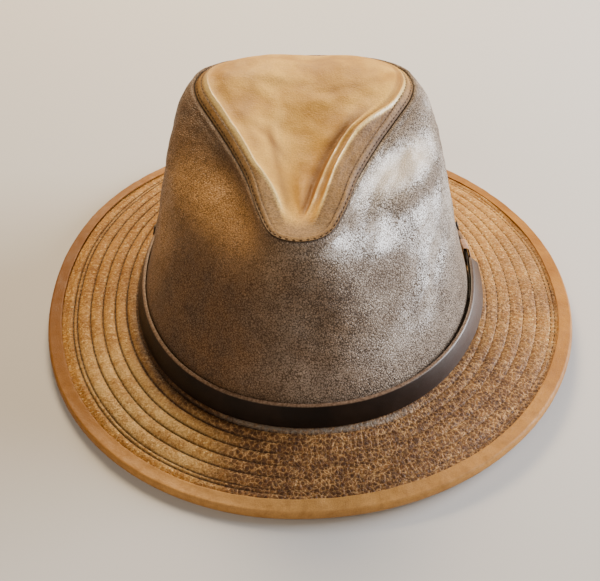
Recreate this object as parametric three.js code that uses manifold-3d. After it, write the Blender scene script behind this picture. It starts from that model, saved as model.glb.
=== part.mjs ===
import * as THREE from "three";
import { mergeVertices } from "three/addons/utils/BufferGeometryUtils.js";
import Module from "manifold-3d";

const wasm = await Module();
wasm.setup();

// A leather hat that lies on its brim. Millimetres, +Z up, the front of the hat faces -Y and the
// wearer's left is +X. The origin is on the table, under the middle of the brim.
// A turn is an angle round the hat: 0 is +X, 90 the back, 180 -X and 270 the front, and a table
// goes from the front round to the back, for both sides of the hat alike.

// Driving dimensions

const columns = 72; // steps round every ring of the hat
const gap = 0.3; // between pieces that touch
const smallParts = 12; // sides of an eyelet and of its hole

const brim = {
  halfWidth: 141.4,
  halfLength: 159.4,
  squareness: 2.09,
  thickness: 2.6,
  underCrown: 5, // how far it runs in under the crown's wall
  footHeight: 14.6, // middle of the leather at the crown's foot
  edgeHeight: 5.2, // middle of the leather at the free edge, all round on average
  droop: 1.12, // above 1 the brim falls steeper beside the crown than at its edge
};
const warp = { alongAxes: 1.4, acrossDiagonals: -3.3 }; // the edge's slow rise and fall
const brimShares = [0, 0.25, 0.5, 0.75]; // where rings lie on the way out to the binding

// A strip folded over the brim's edge. nose is how far its round fold stands past that edge.
const binding = { width: 6, wall: 1.0, nose: 1.6 };
const noseAngles = [-90, -45, 0, 45, 90]; // section points of the fold, in degrees

// Where the brim lies on the table it is pressed flat: its middle goes no lower than level.
const rest = { level: brim.thickness / 2 + gap + binding.wall, blend: 0.4 };

// Outside of the crown's foot, which sits a little nearer the front of the brim and its -X side.
const foot = { halfWidth: 89.5, halfLength: 112, squareness: 2.12, forward: 3.7, aside: 1.2 };
const crown = {
  wall: 2.0,
  flare: 9.2, // how far the foot spreads out under the strap
  flareRise: 0.36, // share of the wall over which it spreads
  tipShift: -1.8, // the tip sits a little to the wearer's right
  tipSkew: 0.033, // and is turned by this much sideways for each millimetre along the hat
  tipMiddle: 22, // how far behind the origin the tip's middle lies
  ridgeRound: 6, // the higher the power, the closer to the seam the ridge comes down
  valleyRound: 8, // the same for the valley
  seamDip: 0.9, // the cut edges at the seam go down by this much for each millimetre in
  seamBlend: 0.8, // share of the way to the seam where a wall starts to turn to its cut edge
  footBlend: 0.2, // share of the side's rise over which its wall turns from level
};
const sideRises = [0, 0.1, 0.22, 0.36, 0.52, 0.68, 0.82, 0.92, 1]; // rings on the way up the side
const tipReaches = [0, 0.2, 0.4, 0.58, 0.74, 0.86, 0.94, 1]; // rings from the tip's middle to its seam

// The strap goes once round the crown's foot, and its round end lies over its start.
const strap = {
  height: 11.5,
  thickness: 2.0,
  lean: 16.5, // degrees that it leans in towards the crown
  standOff: 0.5, // from the crown's foot
  endTurn: 2,
  lap: 22, // degrees that its end lies over its start
  lapFade: 42, // degrees over which it comes out to lie over its start
  lapAhead: 3, // degrees before the start where it is all the way out
  roundEnd: 9, // length of the round end
  endSteps: 5,
  endBluntness: 0.96, // 1 would bring the round end to a point
};
const keeper = { turn: 9, width: 6, wall: 1.2, fade: 16 }; // a loop that holds the strap behind its end
const eyelet = { turn: 2, height: 46, flange: 3.0, barrel: 2.0, bore: 1.4, plate: 0.5 }; // radii

// The seam between the crown's side and its tip.
const seam = [
  { turn: 270, x: 0, y: -82, z: 97.5 },
  { turn: 283, x: 13, y: -77, z: 98.2 },
  { turn: 296, x: 20.5, y: -60, z: 100.2 },
  { turn: 309, x: 27, y: -37, z: 103 },
  { turn: 322, x: 36.5, y: -14, z: 106.2 },
  { turn: 336, x: 46.5, y: 7, z: 108.8 },
  { turn: 352, x: 56, y: 28, z: 111 },
  { turn: 370, x: 58.5, y: 46, z: 111.5 },
  { turn: 390, x: 53, y: 64, z: 110 },
  { turn: 418, x: 33, y: 79, z: 107.5 },
  { turn: 450, x: 0, y: 85, z: 106 },
];

// The side's profile at each turn is one curve from the foot to the seam. It leaves the foot
// straight up by rise and comes into the seam from out and up of it. pinch is the depth of the
// hollow that fingers press in just under the seam.
const side = [
  { turn: 270, rise: 36, out: 7, up: -16, pinch: 0 },
  { turn: 295, rise: 40, out: 8, up: -9, pinch: 1 },
  { turn: 315, rise: 46, out: 9, up: -2, pinch: 3 },
  { turn: 335, rise: 54, out: 9.5, up: 3, pinch: 1.5 },
  { turn: 355, rise: 56, out: 9.5, up: 4.5, pinch: 0 },
  { turn: 400, rise: 53, out: 10, up: 4, pinch: 0 },
  { turn: 450, rise: 48, out: 10, up: 2.5, pinch: 0 },
];

// The tip along the hat, from the front to the back: the ridge's height over the seam, and the
// depth and half width of the valley between the two ridges.
const tip = [
  { y: -80, ridge: 0.5, valley: 0, width: 7 },
  { y: -64, ridge: 3, valley: 4.5, width: 8 },
  { y: -46, ridge: 6, valley: 11, width: 10 },
  { y: -22, ridge: 7.5, valley: 14, width: 15 },
  { y: 0, ridge: 7.5, valley: 11.5, width: 21 },
  { y: 22, ridge: 8, valley: 7, width: 27 },
  { y: 48, ridge: 11, valley: 4.5, width: 27 },
  { y: 90, ridge: 13, valley: 3.5, width: 27 },
];

const degree = Math.PI / 180;
const smallStep = 1e-3; // in turn and in share of a surface, for its slopes
const sameSpot = 1e-4; // points closer than this are one

// Curves

/** Smooth step from 0 to 1 as value goes from low to high. */
function ease(low, high, value) {
  const part = Math.min(Math.max((value - low) / (high - low), 0), 1);
  return part * part * (3 - 2 * part);
}

/** Smooth value at t between two of four rows of a table, each with its place and value. */
function curveThrough([before, from, to, after], place) {
  const step = to.place - from.place;
  const fromSlope = ((to.value - before.value) / (to.place - before.place)) * step;
  const toSlope = ((after.value - from.value) / (after.place - from.place)) * step;
  const t = (place - from.place) / step;
  return (
    (2 * t ** 3 - 3 * t ** 2 + 1) * from.value +
    (t ** 3 - 2 * t ** 2 + t) * fromSlope +
    (3 * t ** 2 - 2 * t ** 3) * to.value +
    (t ** 3 - t ** 2) * toSlope
  );
}

/** Value of a column at a place. Past its ends a table goes on as its mirror image, times sign. */
function read(table, key, column, place, sign = 1) {
  const last = table.length - 1;
  const row = (index) => {
    if (index < 0) {
      return { place: 2 * table[0][key] - table[-index][key], value: sign * table[-index][column] };
    }
    if (index > last) {
      const twin = table[2 * last - index];
      return { place: 2 * table[last][key] - twin[key], value: sign * twin[column] };
    }
    return { place: table[index][key], value: table[index][column] };
  };
  const inside = Math.min(Math.max(place, table[0][key]), table[last][key]);
  let from = 0;
  while (from < last - 1 && inside > table[from + 1][key]) from += 1;
  return curveThrough([from - 1, from, from + 1, from + 2].map(row), inside);
}

/** Value of a column of a table that goes from the front round to the back, at any turn. */
function readRound(table, column, turn, sign = 1) {
  const fromFront = (((turn / degree - 270) % 360) + 360) % 360;
  const mirrored = fromFront > 180;
  const value = read(table, "turn", column, 270 + (mirrored ? 360 - fromFront : fromFront), sign);
  return mirrored ? sign * value : value;
}

/** Radius of a squarish oval at a polar angle. */
function ovalRadius({ halfWidth, halfLength, squareness }, turn) {
  const across = Math.abs(Math.cos(turn) / halfWidth) ** squareness;
  const along = Math.abs(Math.sin(turn) / halfLength) ** squareness;
  return (across + along) ** (-1 / squareness);
}

/** Point of the crown's foot line seen from above. */
function footPoint(turn) {
  const radius = ovalRadius(foot, turn);
  return new THREE.Vector3(radius * Math.cos(turn) - foot.aside, radius * Math.sin(turn) - foot.forward, 0);
}

/** Point of the brim's free edge seen from above. */
function edgePoint(turn) {
  const radius = ovalRadius(brim, turn);
  return new THREE.Vector3(radius * Math.cos(turn), radius * Math.sin(turn), 0);
}

/** Level direction away from the crown. */
function outwardAt(turn) {
  return edgePoint(turn).sub(footPoint(turn)).normalize();
}

// Surfaces

/** Height of the brim's middle, reach going from 0 at the crown's foot to 1 at the free edge. */
function brimHeight(turn, reach) {
  const inside = Math.min(Math.max(reach, 0), 1);
  const edge =
    brim.edgeHeight + warp.alongAxes * Math.cos(2 * turn) + warp.acrossDiagonals * Math.sin(2 * turn);
  const free = edge + (brim.footHeight - edge) * (1 - inside) ** brim.droop;
  const blend = Math.max(rest.blend - Math.abs(free - rest.level), 0) / rest.blend;
  return Math.max(free, rest.level) + (blend * blend * rest.blend) / 4;
}

/** Point of the brim, away from the crown's foot in millimetres and up above its middle. */
function brimPoint(turn, away, up) {
  const width = edgePoint(turn).distanceTo(footPoint(turn));
  const point = footPoint(turn).addScaledVector(outwardAt(turn), away);
  point.z = brimHeight(turn, away / width) + up;
  return point;
}

/** Point of the brim, past its free edge in millimetres and up above its middle. */
function rimPoint(turn, past, up) {
  return brimPoint(turn, edgePoint(turn).distanceTo(footPoint(turn)) + past, up);
}

/** Point of the seam line where the crown's side and tip meet. */
function seamPoint(turn) {
  const y = readRound(seam, "y", turn);
  const x = readRound(seam, "x", turn, -1) + crown.tipShift + crown.tipSkew * y;
  return new THREE.Vector3(x, y, readRound(seam, "z", turn));
}

/** Outside of the crown's side, rise going from 0 at its foot to 1 at the seam. */
function sidePoint(turn, rise) {
  const outward = outwardAt(turn);
  const low = brimPoint(turn, 0, brim.thickness / 2 + gap);
  const start = low.clone().addScaledVector(outward, -crown.flare);
  const end = seamPoint(turn);
  const startHandle = start.clone();
  startHandle.z += readRound(side, "rise", turn);
  const endHandle = end.clone().addScaledVector(outward, readRound(side, "out", turn));
  endHandle.z += readRound(side, "up", turn);
  const point = new THREE.CubicBezierCurve3(start, startHandle, endHandle, end).getPoint(rise);
  const spread = crown.flare * Math.max(1 - rise / crown.flareRise, 0) ** 2;
  const hollow = readRound(side, "pinch", turn) * Math.sin(Math.PI * ease(0.5, 1, rise)) ** 2;
  return point.addScaledVector(outward, spread - hollow);
}

/** Outside of the crown's tip, reach going from 0 at its middle to 1 at the seam. */
function tipPoint(turn, reach) {
  const edge = seamPoint(turn);
  const y = crown.tipMiddle + (edge.y - crown.tipMiddle) * reach;
  const middle = crown.tipShift + crown.tipSkew * y;
  const x = middle + (edge.x - crown.tipShift - crown.tipSkew * edge.y) * reach;
  const level = edge.z * reach + read(seam, "y", "z", y) * (1 - reach);
  const ridge = read(tip, "y", "ridge", y) * (1 - reach ** crown.ridgeRound);
  const across = (x - middle) / read(tip, "y", "width", y);
  const trough = Math.exp(-across * across) * (1 - reach ** crown.valleyRound);
  const valley = read(tip, "y", "valley", y) * trough;
  return new THREE.Vector3(x, y, level + ridge - valley);
}

/** Outward normal of a surface at a point, by small steps in its two parameters. */
function normalOf(surface, turn, along) {
  const round = surface(turn + smallStep, along).sub(surface(turn - smallStep, along));
  const [low, high] = [Math.max(along - smallStep, 0), Math.min(along + smallStep, 1)];
  return round.cross(surface(turn, high).sub(surface(turn, low))).normalize();
}

// Closed bodies from rings of points

function bodyOf(rings, joins) {
  const count = rings[0].length;
  const index = [];
  for (const [ring, next] of joins) {
    for (let i = 0; i < count; i += 1) {
      const j = (i + 1) % count;
      const [a, b, c, d] = [ring * count + i, next * count + i, next * count + j, ring * count + j];
      index.push(a, b, c, a, c, d);
    }
  }
  const geometry = new THREE.BufferGeometry();
  const position = rings.flat().flatMap((point) => point.toArray());
  geometry.setAttribute("position", new THREE.Float32BufferAttribute(position, 3));
  geometry.setIndex(index);
  return geometry;
}

/** Body that goes round and meets itself. A section's points go out below and come back above. */
function closedRing(sections) {
  return bodyOf(sections, sections.map((_, i) => [i, (i + 1) % sections.length]));
}

/** Body between two ends, each shut by triangles from its first point. */
function closedStrip(sections) {
  const last = sections.length - 1;
  const geometry = bodyOf(sections, sections.slice(1).map((_, i) => [i, i + 1]));
  const index = Array.from(geometry.index.array);
  const count = sections[0].length;
  const end = last * count;
  for (let i = 1; i < count - 1; i += 1) {
    index.push(0, i, i + 1, end, end + i + 1, end + i);
  }
  geometry.setIndex(index);
  return geometry;
}

/** Turns of the columns, once round the hat. */
function turnsRound() {
  return Array.from({ length: columns }, (_, column) => (column * 2 * Math.PI) / columns);
}

// Brim

function makeBrim() {
  const half = brim.thickness / 2;
  return closedRing(
    turnsRound().map((turn) => {
      const width = edgePoint(turn).distanceTo(footPoint(turn));
      const between = brimShares.map((share) => share * width);
      const places = [-brim.underCrown, ...between, width - binding.width, width];
      const under = places.map((place) => brimPoint(turn, place, -half));
      const top = places.map((place) => brimPoint(turn, place, half)).reverse();
      return [...under, ...top];
    }),
  );
}

// Binding

function makeBinding() {
  const inside = brim.thickness / 2 + gap;
  const outside = inside + binding.wall;
  const fold = noseAngles.map((angle) => {
    return { past: binding.nose * Math.cos(angle * degree), up: outside * Math.sin(angle * degree) };
  });
  const section = [
    { past: -binding.width, up: -outside },
    { past: -binding.width / 2, up: -outside },
    ...fold,
    { past: -binding.width, up: outside },
    { past: -binding.width, up: inside },
    { past: gap, up: inside },
    { past: gap, up: -inside },
    { past: -binding.width, up: -inside },
  ];
  return closedRing(turnsRound().map((turn) => section.map(({ past, up }) => rimPoint(turn, past, up))));
}

// Crown

/** Direction of the leather's cut edge at the seam, in and down. */
function seamInward(turn) {
  const edge = seamPoint(turn);
  const inward = new THREE.Vector3(-edge.x, crown.tipMiddle - edge.y, 0).normalize();
  return inward.setZ(-crown.seamDip).normalize();
}

/** Direction across the seam, square to its cut edge, from the side to the tip. */
function seamAcross(turn) {
  const inward = seamInward(turn);
  const level = Math.hypot(inward.x, inward.y);
  return new THREE.Vector3((-inward.x * inward.z) / level, (-inward.y * inward.z) / level, level);
}

function makeSide() {
  return closedRing(
    turnsRound().map((turn) => {
      const across = seamAcross(turn);
      const outer = sideRises.map((rise) => {
        return sidePoint(turn, rise).addScaledVector(across, (-gap / 2) * ease(crown.seamBlend, 1, rise));
      });
      const inner = sideRises.map((rise, row) => {
        const normal = normalOf(sidePoint, turn, rise);
        const level = normal.clone().setZ(0).normalize();
        const into = normal.lerp(level, 1 - ease(0, crown.footBlend, rise)).negate();
        into.lerp(seamInward(turn), ease(crown.seamBlend, 1, rise)).normalize();
        return outer[row].clone().addScaledVector(into, crown.wall);
      });
      return [...outer, ...inner.reverse()];
    }),
  );
}

function makeTip() {
  const turns = turnsRound();
  const outer = (turn, reach) => {
    const back = (gap / 2) * ease(crown.seamBlend, 1, reach);
    return tipPoint(turn, reach).addScaledVector(seamAcross(turn), back);
  };
  const inner = (turn, reach) => {
    const into = reach > 0 ? normalOf(tipPoint, turn, reach) : new THREE.Vector3(0, 0, -1);
    if (into.z > 0) into.negate();
    into.lerp(seamInward(turn), ease(crown.seamBlend, 1, reach)).normalize();
    return outer(turn, reach).addScaledVector(into, crown.wall);
  };
  const top = tipReaches.map((reach) => turns.map((turn) => outer(turn, reach)));
  const under = tipReaches.map((reach) => turns.map((turn) => inner(turn, reach))).reverse();
  const rings = [...top, ...under];
  return weld(bodyOf(rings, rings.slice(1).map((_, i) => [i, i + 1])));
}

/** The same body with its doubled points made one and its flat triangles left out. */
function weld(geometry) {
  const merged = mergeVertices(geometry, sameSpot);
  const index = [];
  const from = merged.index.array;
  for (let i = 0; i < from.length; i += 3) {
    const [a, b, c] = [from[i], from[i + 1], from[i + 2]];
    if (a !== b && b !== c && c !== a) index.push(a, b, c);
  }
  merged.setIndex(index);
  return merged;
}

// Eyelets in the crown's side

/** Frame of an eyelet: its middle on the wall's outside and its axis along the wall's normal. */
function eyeletPlace(turn) {
  let low = 0;
  let high = 1;
  while (high - low > smallStep) {
    const middle = (low + high) / 2;
    if (sidePoint(turn, middle).z < eyelet.height) low = middle;
    else high = middle;
  }
  const turned = new THREE.Quaternion();
  turned.setFromUnitVectors(new THREE.Vector3(0, 1, 0), normalOf(sidePoint, turn, low));
  return new THREE.Matrix4().compose(sidePoint(turn, low), turned, new THREE.Vector3(1, 1, 1));
}

function makeEyelet(turn) {
  const outside = gap;
  const inside = -crown.wall - gap;
  const profile = [
    new THREE.Vector2(eyelet.bore, inside - eyelet.plate),
    new THREE.Vector2(eyelet.flange, inside - eyelet.plate),
    new THREE.Vector2(eyelet.flange, inside),
    new THREE.Vector2(eyelet.barrel, inside),
    new THREE.Vector2(eyelet.barrel, outside),
    new THREE.Vector2(eyelet.flange, outside),
    new THREE.Vector2((eyelet.flange + eyelet.bore) / 2, outside + eyelet.plate),
    new THREE.Vector2(eyelet.bore, outside + eyelet.plate / 2),
    new THREE.Vector2(eyelet.bore, inside - eyelet.plate),
  ];
  const geometry = new THREE.LatheGeometry(profile, smallParts);
  geometry.deleteAttribute("normal");
  geometry.deleteAttribute("uv");
  return weld(geometry).applyMatrix4(eyeletPlace(turn));
}

function solidOf(geometry) {
  const merged = weld(geometry);
  const mesh = new wasm.Mesh({
    numProp: 3,
    vertProperties: new Float32Array(merged.attributes.position.array),
    triVerts: new Uint32Array(merged.index.array),
  });
  return new wasm.Manifold(mesh);
}

/** The crown's side with a hole for each eyelet. */
function drilled(geometry, turns) {
  let solid = solidOf(geometry);
  const radius = eyelet.barrel + gap;
  for (const turn of turns) {
    const drill = new THREE.CylinderGeometry(radius, radius, 6 * crown.wall, smallParts);
    drill.deleteAttribute("normal");
    drill.deleteAttribute("uv");
    solid = solid.subtract(solidOf(drill.applyMatrix4(eyeletPlace(turn))));
  }
  const mesh = solid.getMesh();
  const body = new THREE.BufferGeometry();
  body.setAttribute("position", new THREE.Float32BufferAttribute(mesh.vertProperties, 3));
  body.setIndex(Array.from(mesh.triVerts));
  return body;
}

// Strap round the crown's foot, and the keeper behind its end

/** Room that the keeper's wall takes from under and behind the strap, fading out on both sides of it. */
function keeperRoom(degrees) {
  const fromKeeper = ((degrees + 180) % 360) - 180 - keeper.turn;
  return (keeper.wall + gap) * Math.exp(-((fromKeeper / keeper.fade) ** 2));
}

/** How far the strap's inner face stands off the crown's foot at a place along its length. */
function strapAway(degrees) {
  const out = 360 + strap.endTurn - strap.lap - strap.lapAhead;
  const lapped = ease(out - strap.lapFade, out, degrees);
  return strap.standOff + keeperRoom(degrees) + (strap.thickness + gap) * lapped;
}

/** Point of the strap's section at a turn: away from the foot, and up along the leaning strap. */
function strapPoint(turn, away, up) {
  const lean = strap.lean * degree;
  const point = brimPoint(turn, away, brim.thickness / 2 + gap);
  point.addScaledVector(outwardAt(turn), -up * Math.sin(lean));
  point.z += up * Math.cos(lean);
  return point;
}

/** Section of the strap, its edges cut back by cut, or with spare all round it. */
function strapSection(degrees, { cut = 0, spare = 0 }) {
  const turn = degrees * degree;
  const inner = strapAway(degrees) - spare;
  const outer = strapAway(degrees) + strap.thickness + spare;
  const low = keeperRoom(degrees) + cut - spare;
  const high = keeperRoom(degrees) + strap.height - cut + spare;
  return [
    strapPoint(turn, inner, low),
    strapPoint(turn, outer, low),
    strapPoint(turn, outer, high),
    strapPoint(turn, inner, high),
  ];
}

function makeStrap() {
  const start = strap.endTurn - strap.lap;
  const roundDegrees = strap.roundEnd / (foot.halfWidth * degree);
  const end = strap.endTurn + 360 - roundDegrees;
  const sections = [];
  for (let step = 0; step <= columns; step += 1) {
    sections.push(strapSection(start + ((end - start) * step) / columns, {}));
  }
  for (let step = 1; step <= strap.endSteps; step += 1) {
    const share = Math.sin((step * 90 * degree) / strap.endSteps);
    const cut = (strap.height / 2) * (1 - Math.sqrt(1 - (strap.endBluntness * share) ** 2));
    sections.push(strapSection(end + share * roundDegrees, { cut }));
  }
  return closedStrip(sections);
}

function makeKeeper() {
  const halfTurn = keeper.width / 2 / foot.halfWidth / degree;
  const [first, second] = [keeper.turn - halfTurn, keeper.turn + halfTurn];
  return closedRing([
    strapSection(first, { spare: gap }),
    strapSection(first, { spare: gap + keeper.wall }),
    strapSection(second, { spare: gap + keeper.wall }),
    strapSection(second, { spare: gap }),
  ]);
}

// Assembly

const hat = new THREE.Group();

function add(name, geometry, colour, roughness, metalness = 0) {
  geometry.computeVertexNormals();
  const material = new THREE.MeshStandardMaterial({ color: colour, roughness, metalness });
  const mesh = new THREE.Mesh(geometry, material);
  mesh.name = name;
  hat.add(mesh);
}

const eyeletTurns = { left: eyelet.turn * degree, right: Math.PI - eyelet.turn * degree };

add("brim", makeBrim(), 0x9a7a52, 0.6);
add("brim_binding", makeBinding(), 0xa8763c, 0.5);
add("crown_side", drilled(makeSide(), Object.values(eyeletTurns)), 0x8f7350, 0.5);
add("crown_tip", makeTip(), 0xa07446, 0.42);
add("band_strap", makeStrap(), 0x2b1d17, 0.4);
add("band_keeper", makeKeeper(), 0xa9805f, 0.6);
add("vent_eyelet_left", makeEyelet(eyeletTurns.left), 0x2a2623, 0.35, 0.9);
add("vent_eyelet_right", makeEyelet(eyeletTurns.right), 0x2a2623, 0.35, 0.9);

export default hat;
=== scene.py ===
import math

import bmesh
import bpy
import numpy as np
from mathutils import Matrix, Vector


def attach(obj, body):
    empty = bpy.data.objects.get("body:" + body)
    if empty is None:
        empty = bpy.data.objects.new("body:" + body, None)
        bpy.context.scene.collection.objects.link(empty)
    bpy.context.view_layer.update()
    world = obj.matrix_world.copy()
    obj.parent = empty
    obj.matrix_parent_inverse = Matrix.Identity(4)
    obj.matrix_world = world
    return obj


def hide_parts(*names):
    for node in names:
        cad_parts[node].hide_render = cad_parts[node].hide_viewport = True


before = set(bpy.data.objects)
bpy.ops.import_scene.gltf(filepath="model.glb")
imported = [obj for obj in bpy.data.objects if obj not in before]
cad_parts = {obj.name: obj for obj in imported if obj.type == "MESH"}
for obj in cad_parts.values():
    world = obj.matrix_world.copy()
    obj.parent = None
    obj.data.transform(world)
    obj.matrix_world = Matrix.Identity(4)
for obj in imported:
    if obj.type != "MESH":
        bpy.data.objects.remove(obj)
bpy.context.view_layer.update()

millimetre = 0.001


# View
# The hat is seen from the front and well above, as it lies on its brim. The camera is 0.6 m away and
# turned a little.

focal_pixels = 1068
image_width = 600
view_distance = 0.6
view_elevation = math.radians(38.3)
view_roll = math.radians(-0.8)
view_target = Vector((-0.0049, 0.0, 0.0049))

camera_data = bpy.data.cameras.new("view")
camera_data.sensor_width = 36
camera_data.lens = focal_pixels * camera_data.sensor_width / image_width
camera = bpy.data.objects.new("view", camera_data)
bpy.context.collection.objects.link(camera)
towards_camera = Vector((0, -math.cos(view_elevation), math.sin(view_elevation)))
looking = (-towards_camera).to_track_quat("-Z", "Y").to_matrix().to_4x4()
place = Matrix.Translation(view_target + view_distance * towards_camera)
camera.matrix_world = place @ looking @ Matrix.Rotation(view_roll, 4, "Z")
bpy.context.scene.camera = camera


# Table and light
# A plain pale table in a pale room. A soft light stands at the right, a warm one hangs behind at the
# left, and a weak one fills the front. The room lights the hat little, but is seen pale past the
# table's edge.

def soft_light(name, at, towards, width, height, watts, colour):
    """A rectangular light, facing a point."""
    data = bpy.data.lights.new(name, "AREA")
    data.shape = "RECTANGLE"
    data.size = width
    data.size_y = height
    data.energy = watts
    data.color = colour
    light = bpy.data.objects.new(name, data)
    bpy.context.collection.objects.link(light)
    aim = (Vector(towards) - Vector(at)).to_track_quat("-Z", "Y").to_matrix().to_4x4()
    light.matrix_world = Matrix.Translation(Vector(at)) @ aim


soft_light("side_light", (1.0, 0.2, 0.38), (0, 0, 0.07), 0.7, 0.7, 34, (0.92, 0.95, 1.0))
soft_light("back_light", (-0.12, 0.95, 0.85), (0, 0, 0.06), 0.55, 0.45, 27, (1.0, 0.78, 0.5))
soft_light("front_light", (-0.45, -0.95, 0.8), (0, 0, 0.05), 0.8, 0.8, 7.0, (1.0, 0.86, 0.68))

world = bpy.data.worlds.new("room")
world.use_nodes = True
room = world.node_tree
dim = room.nodes["Background"]
dim.inputs["Color"].default_value = (1.0, 0.96, 0.92, 1)
dim.inputs["Strength"].default_value = 0.07
seen = room.nodes.new("ShaderNodeBackground")
seen.inputs["Color"].default_value = (0.5, 0.475, 0.45, 1)
either = room.nodes.new("ShaderNodeMixShader")
ray = room.nodes.new("ShaderNodeLightPath")
room.links.new(ray.outputs["Is Camera Ray"], either.inputs["Fac"])
room.links.new(dim.outputs["Background"], either.inputs[1])
room.links.new(seen.outputs["Background"], either.inputs[2])
room.links.new(either.outputs["Shader"], room.nodes["World Output"].inputs["Surface"])
bpy.context.scene.world = world

table_size = 2.1
below_hat = 0.0005
bpy.ops.mesh.primitive_plane_add(size=table_size, location=(0, 0, -below_hat))
table = bpy.context.object
table.name = "table"
table_finish = bpy.data.materials.new("pale_table")
table_finish.use_nodes = True
table_shader = table_finish.node_tree.nodes["Principled BSDF"]
table_shader.inputs["Base Color"].default_value = (0.58, 0.555, 0.53, 1)
table_shader.inputs["Roughness"].default_value = 0.75
table.data.materials.append(table_finish)


# Brim
# Two layers of rubbed tan leather, sewn together in five single rows and an outer pair. The leather
# puffs up between the rows and sinks at them. It is a section carried round the crown's foot.

brim = dict(half_width=141.4, half_length=159.4, squareness=2.09)
foot = dict(half_width=89.5, half_length=112.0, squareness=2.12)
foot_aside = 1.2
foot_forward = 3.7
brim_thickness = 2.6
under_crown = 5.0
foot_height = 14.6
edge_height = 5.2
droop = 1.12
warp_along_axes = 1.4
warp_across_diagonals = -3.3
rest_level = 2.6
rest_blend = 0.4
piece_gap = 0.3
binding_width = 6.0


def ease(low, high, value):
    """Smooth step from 0 to 1 as value goes from low to high."""
    part = np.clip((value - low) / (high - low), 0, 1)
    return part * part * (3 - 2 * part)


def bell(off, width):
    """Bell of a distance: one in its middle, and about a third at its width."""
    return np.exp(-((off / width) ** 2))


def oval(turn, half_width, half_length, squareness):
    """Points of a squarish oval: the sum of its two scaled coordinates, each to a power, is one."""
    across = np.abs(np.cos(turn) / half_width) ** squareness
    along = np.abs(np.sin(turn) / half_length) ** squareness
    radius = (across + along) ** (-1 / squareness)
    return np.stack((radius * np.cos(turn), radius * np.sin(turn)), -1)


def foot_line(turn):
    """The crown's foot seen from above: an oval a little forward and aside of the brim's."""
    return oval(turn, **foot) - (foot_aside, foot_forward)


def outward_at(turn):
    """Level direction from the foot line to the brim's edge, and the distance between them."""
    across = oval(turn, **brim) - foot_line(turn)
    width = np.linalg.norm(across, axis=-1)
    return np.concatenate((across / width[..., None], 0 * width[..., None]), -1), width


def brim_point(turn, away, up):
    """Point over the brim's middle: it falls from the foot to the free edge by a power of the way
    left, its edge rises and falls twice round the hat, and it stays above the table's level."""
    turn, away, up = np.broadcast_arrays(turn, away, up)
    outward, width = outward_at(turn)
    edge = edge_height + warp_along_axes * np.cos(2 * turn) + warp_across_diagonals * np.sin(2 * turn)
    free = edge + (foot_height - edge) * (1 - np.clip(away / width, 0, 1)) ** droop
    blend = np.maximum(rest_blend - np.abs(free - rest_level), 0) / rest_blend
    height = np.maximum(free, rest_level) + blend * blend * rest_blend / 4
    level = np.concatenate((foot_line(turn), 0 * away[..., None]), -1) + outward * away[..., None]
    level[..., 2] = height + up
    return level


def turns_round(steps):
    """Angles once round the hat, from the wearer's left."""
    return np.arange(steps) * 2 * np.pi / steps


def normals_of(points, wrap=True):
    """Outward normals of a grid: its step round the hat crossed with its step along the section."""
    if wrap:
        round_step = np.roll(points, -1, axis=0) - np.roll(points, 1, axis=0)
    else:
        round_step = np.gradient(points, axis=0)
    normal = np.cross(round_step, np.gradient(points, axis=1))
    return normal / np.maximum(np.linalg.norm(normal, axis=-1, keepdims=True), 1e-9)


def slow_noise(points, size, seed):
    """Smooth uneven values near -1 to 1: a sum of waves of about one size in random directions."""
    random = np.random.default_rng(seed)
    total = 0
    waves = 9
    for _ in range(waves):
        direction = random.normal(size=3)
        direction *= 2 * np.pi / (size * np.linalg.norm(direction) * random.uniform(0.7, 1.6))
        total = total + np.sin(points @ direction + random.uniform(0, 2 * np.pi))
    return total / math.sqrt(waves)


def new_mesh(name, points, loops, starts):
    """Smooth mesh of points in millimetres. loops are its faces' corners in order, and starts say
    where each face begins among them."""
    mesh = bpy.data.meshes.new(name)
    mesh.vertices.add(points.size // 3)
    mesh.vertices.foreach_set("co", (points * millimetre).ravel())
    mesh.loops.add(len(loops))
    mesh.loops.foreach_set("vertex_index", loops)
    mesh.polygons.add(len(starts))
    mesh.polygons.foreach_set("loop_start", starts)
    mesh.polygons.foreach_set("use_smooth", np.ones(len(starts), bool))
    return mesh


def new_piece(name, mesh):
    """A piece of the finished mesh, at the origin."""
    mesh.update(calc_edges=True)
    piece = bpy.data.objects.new(name, mesh)
    bpy.context.collection.objects.link(piece)
    return piece


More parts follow.
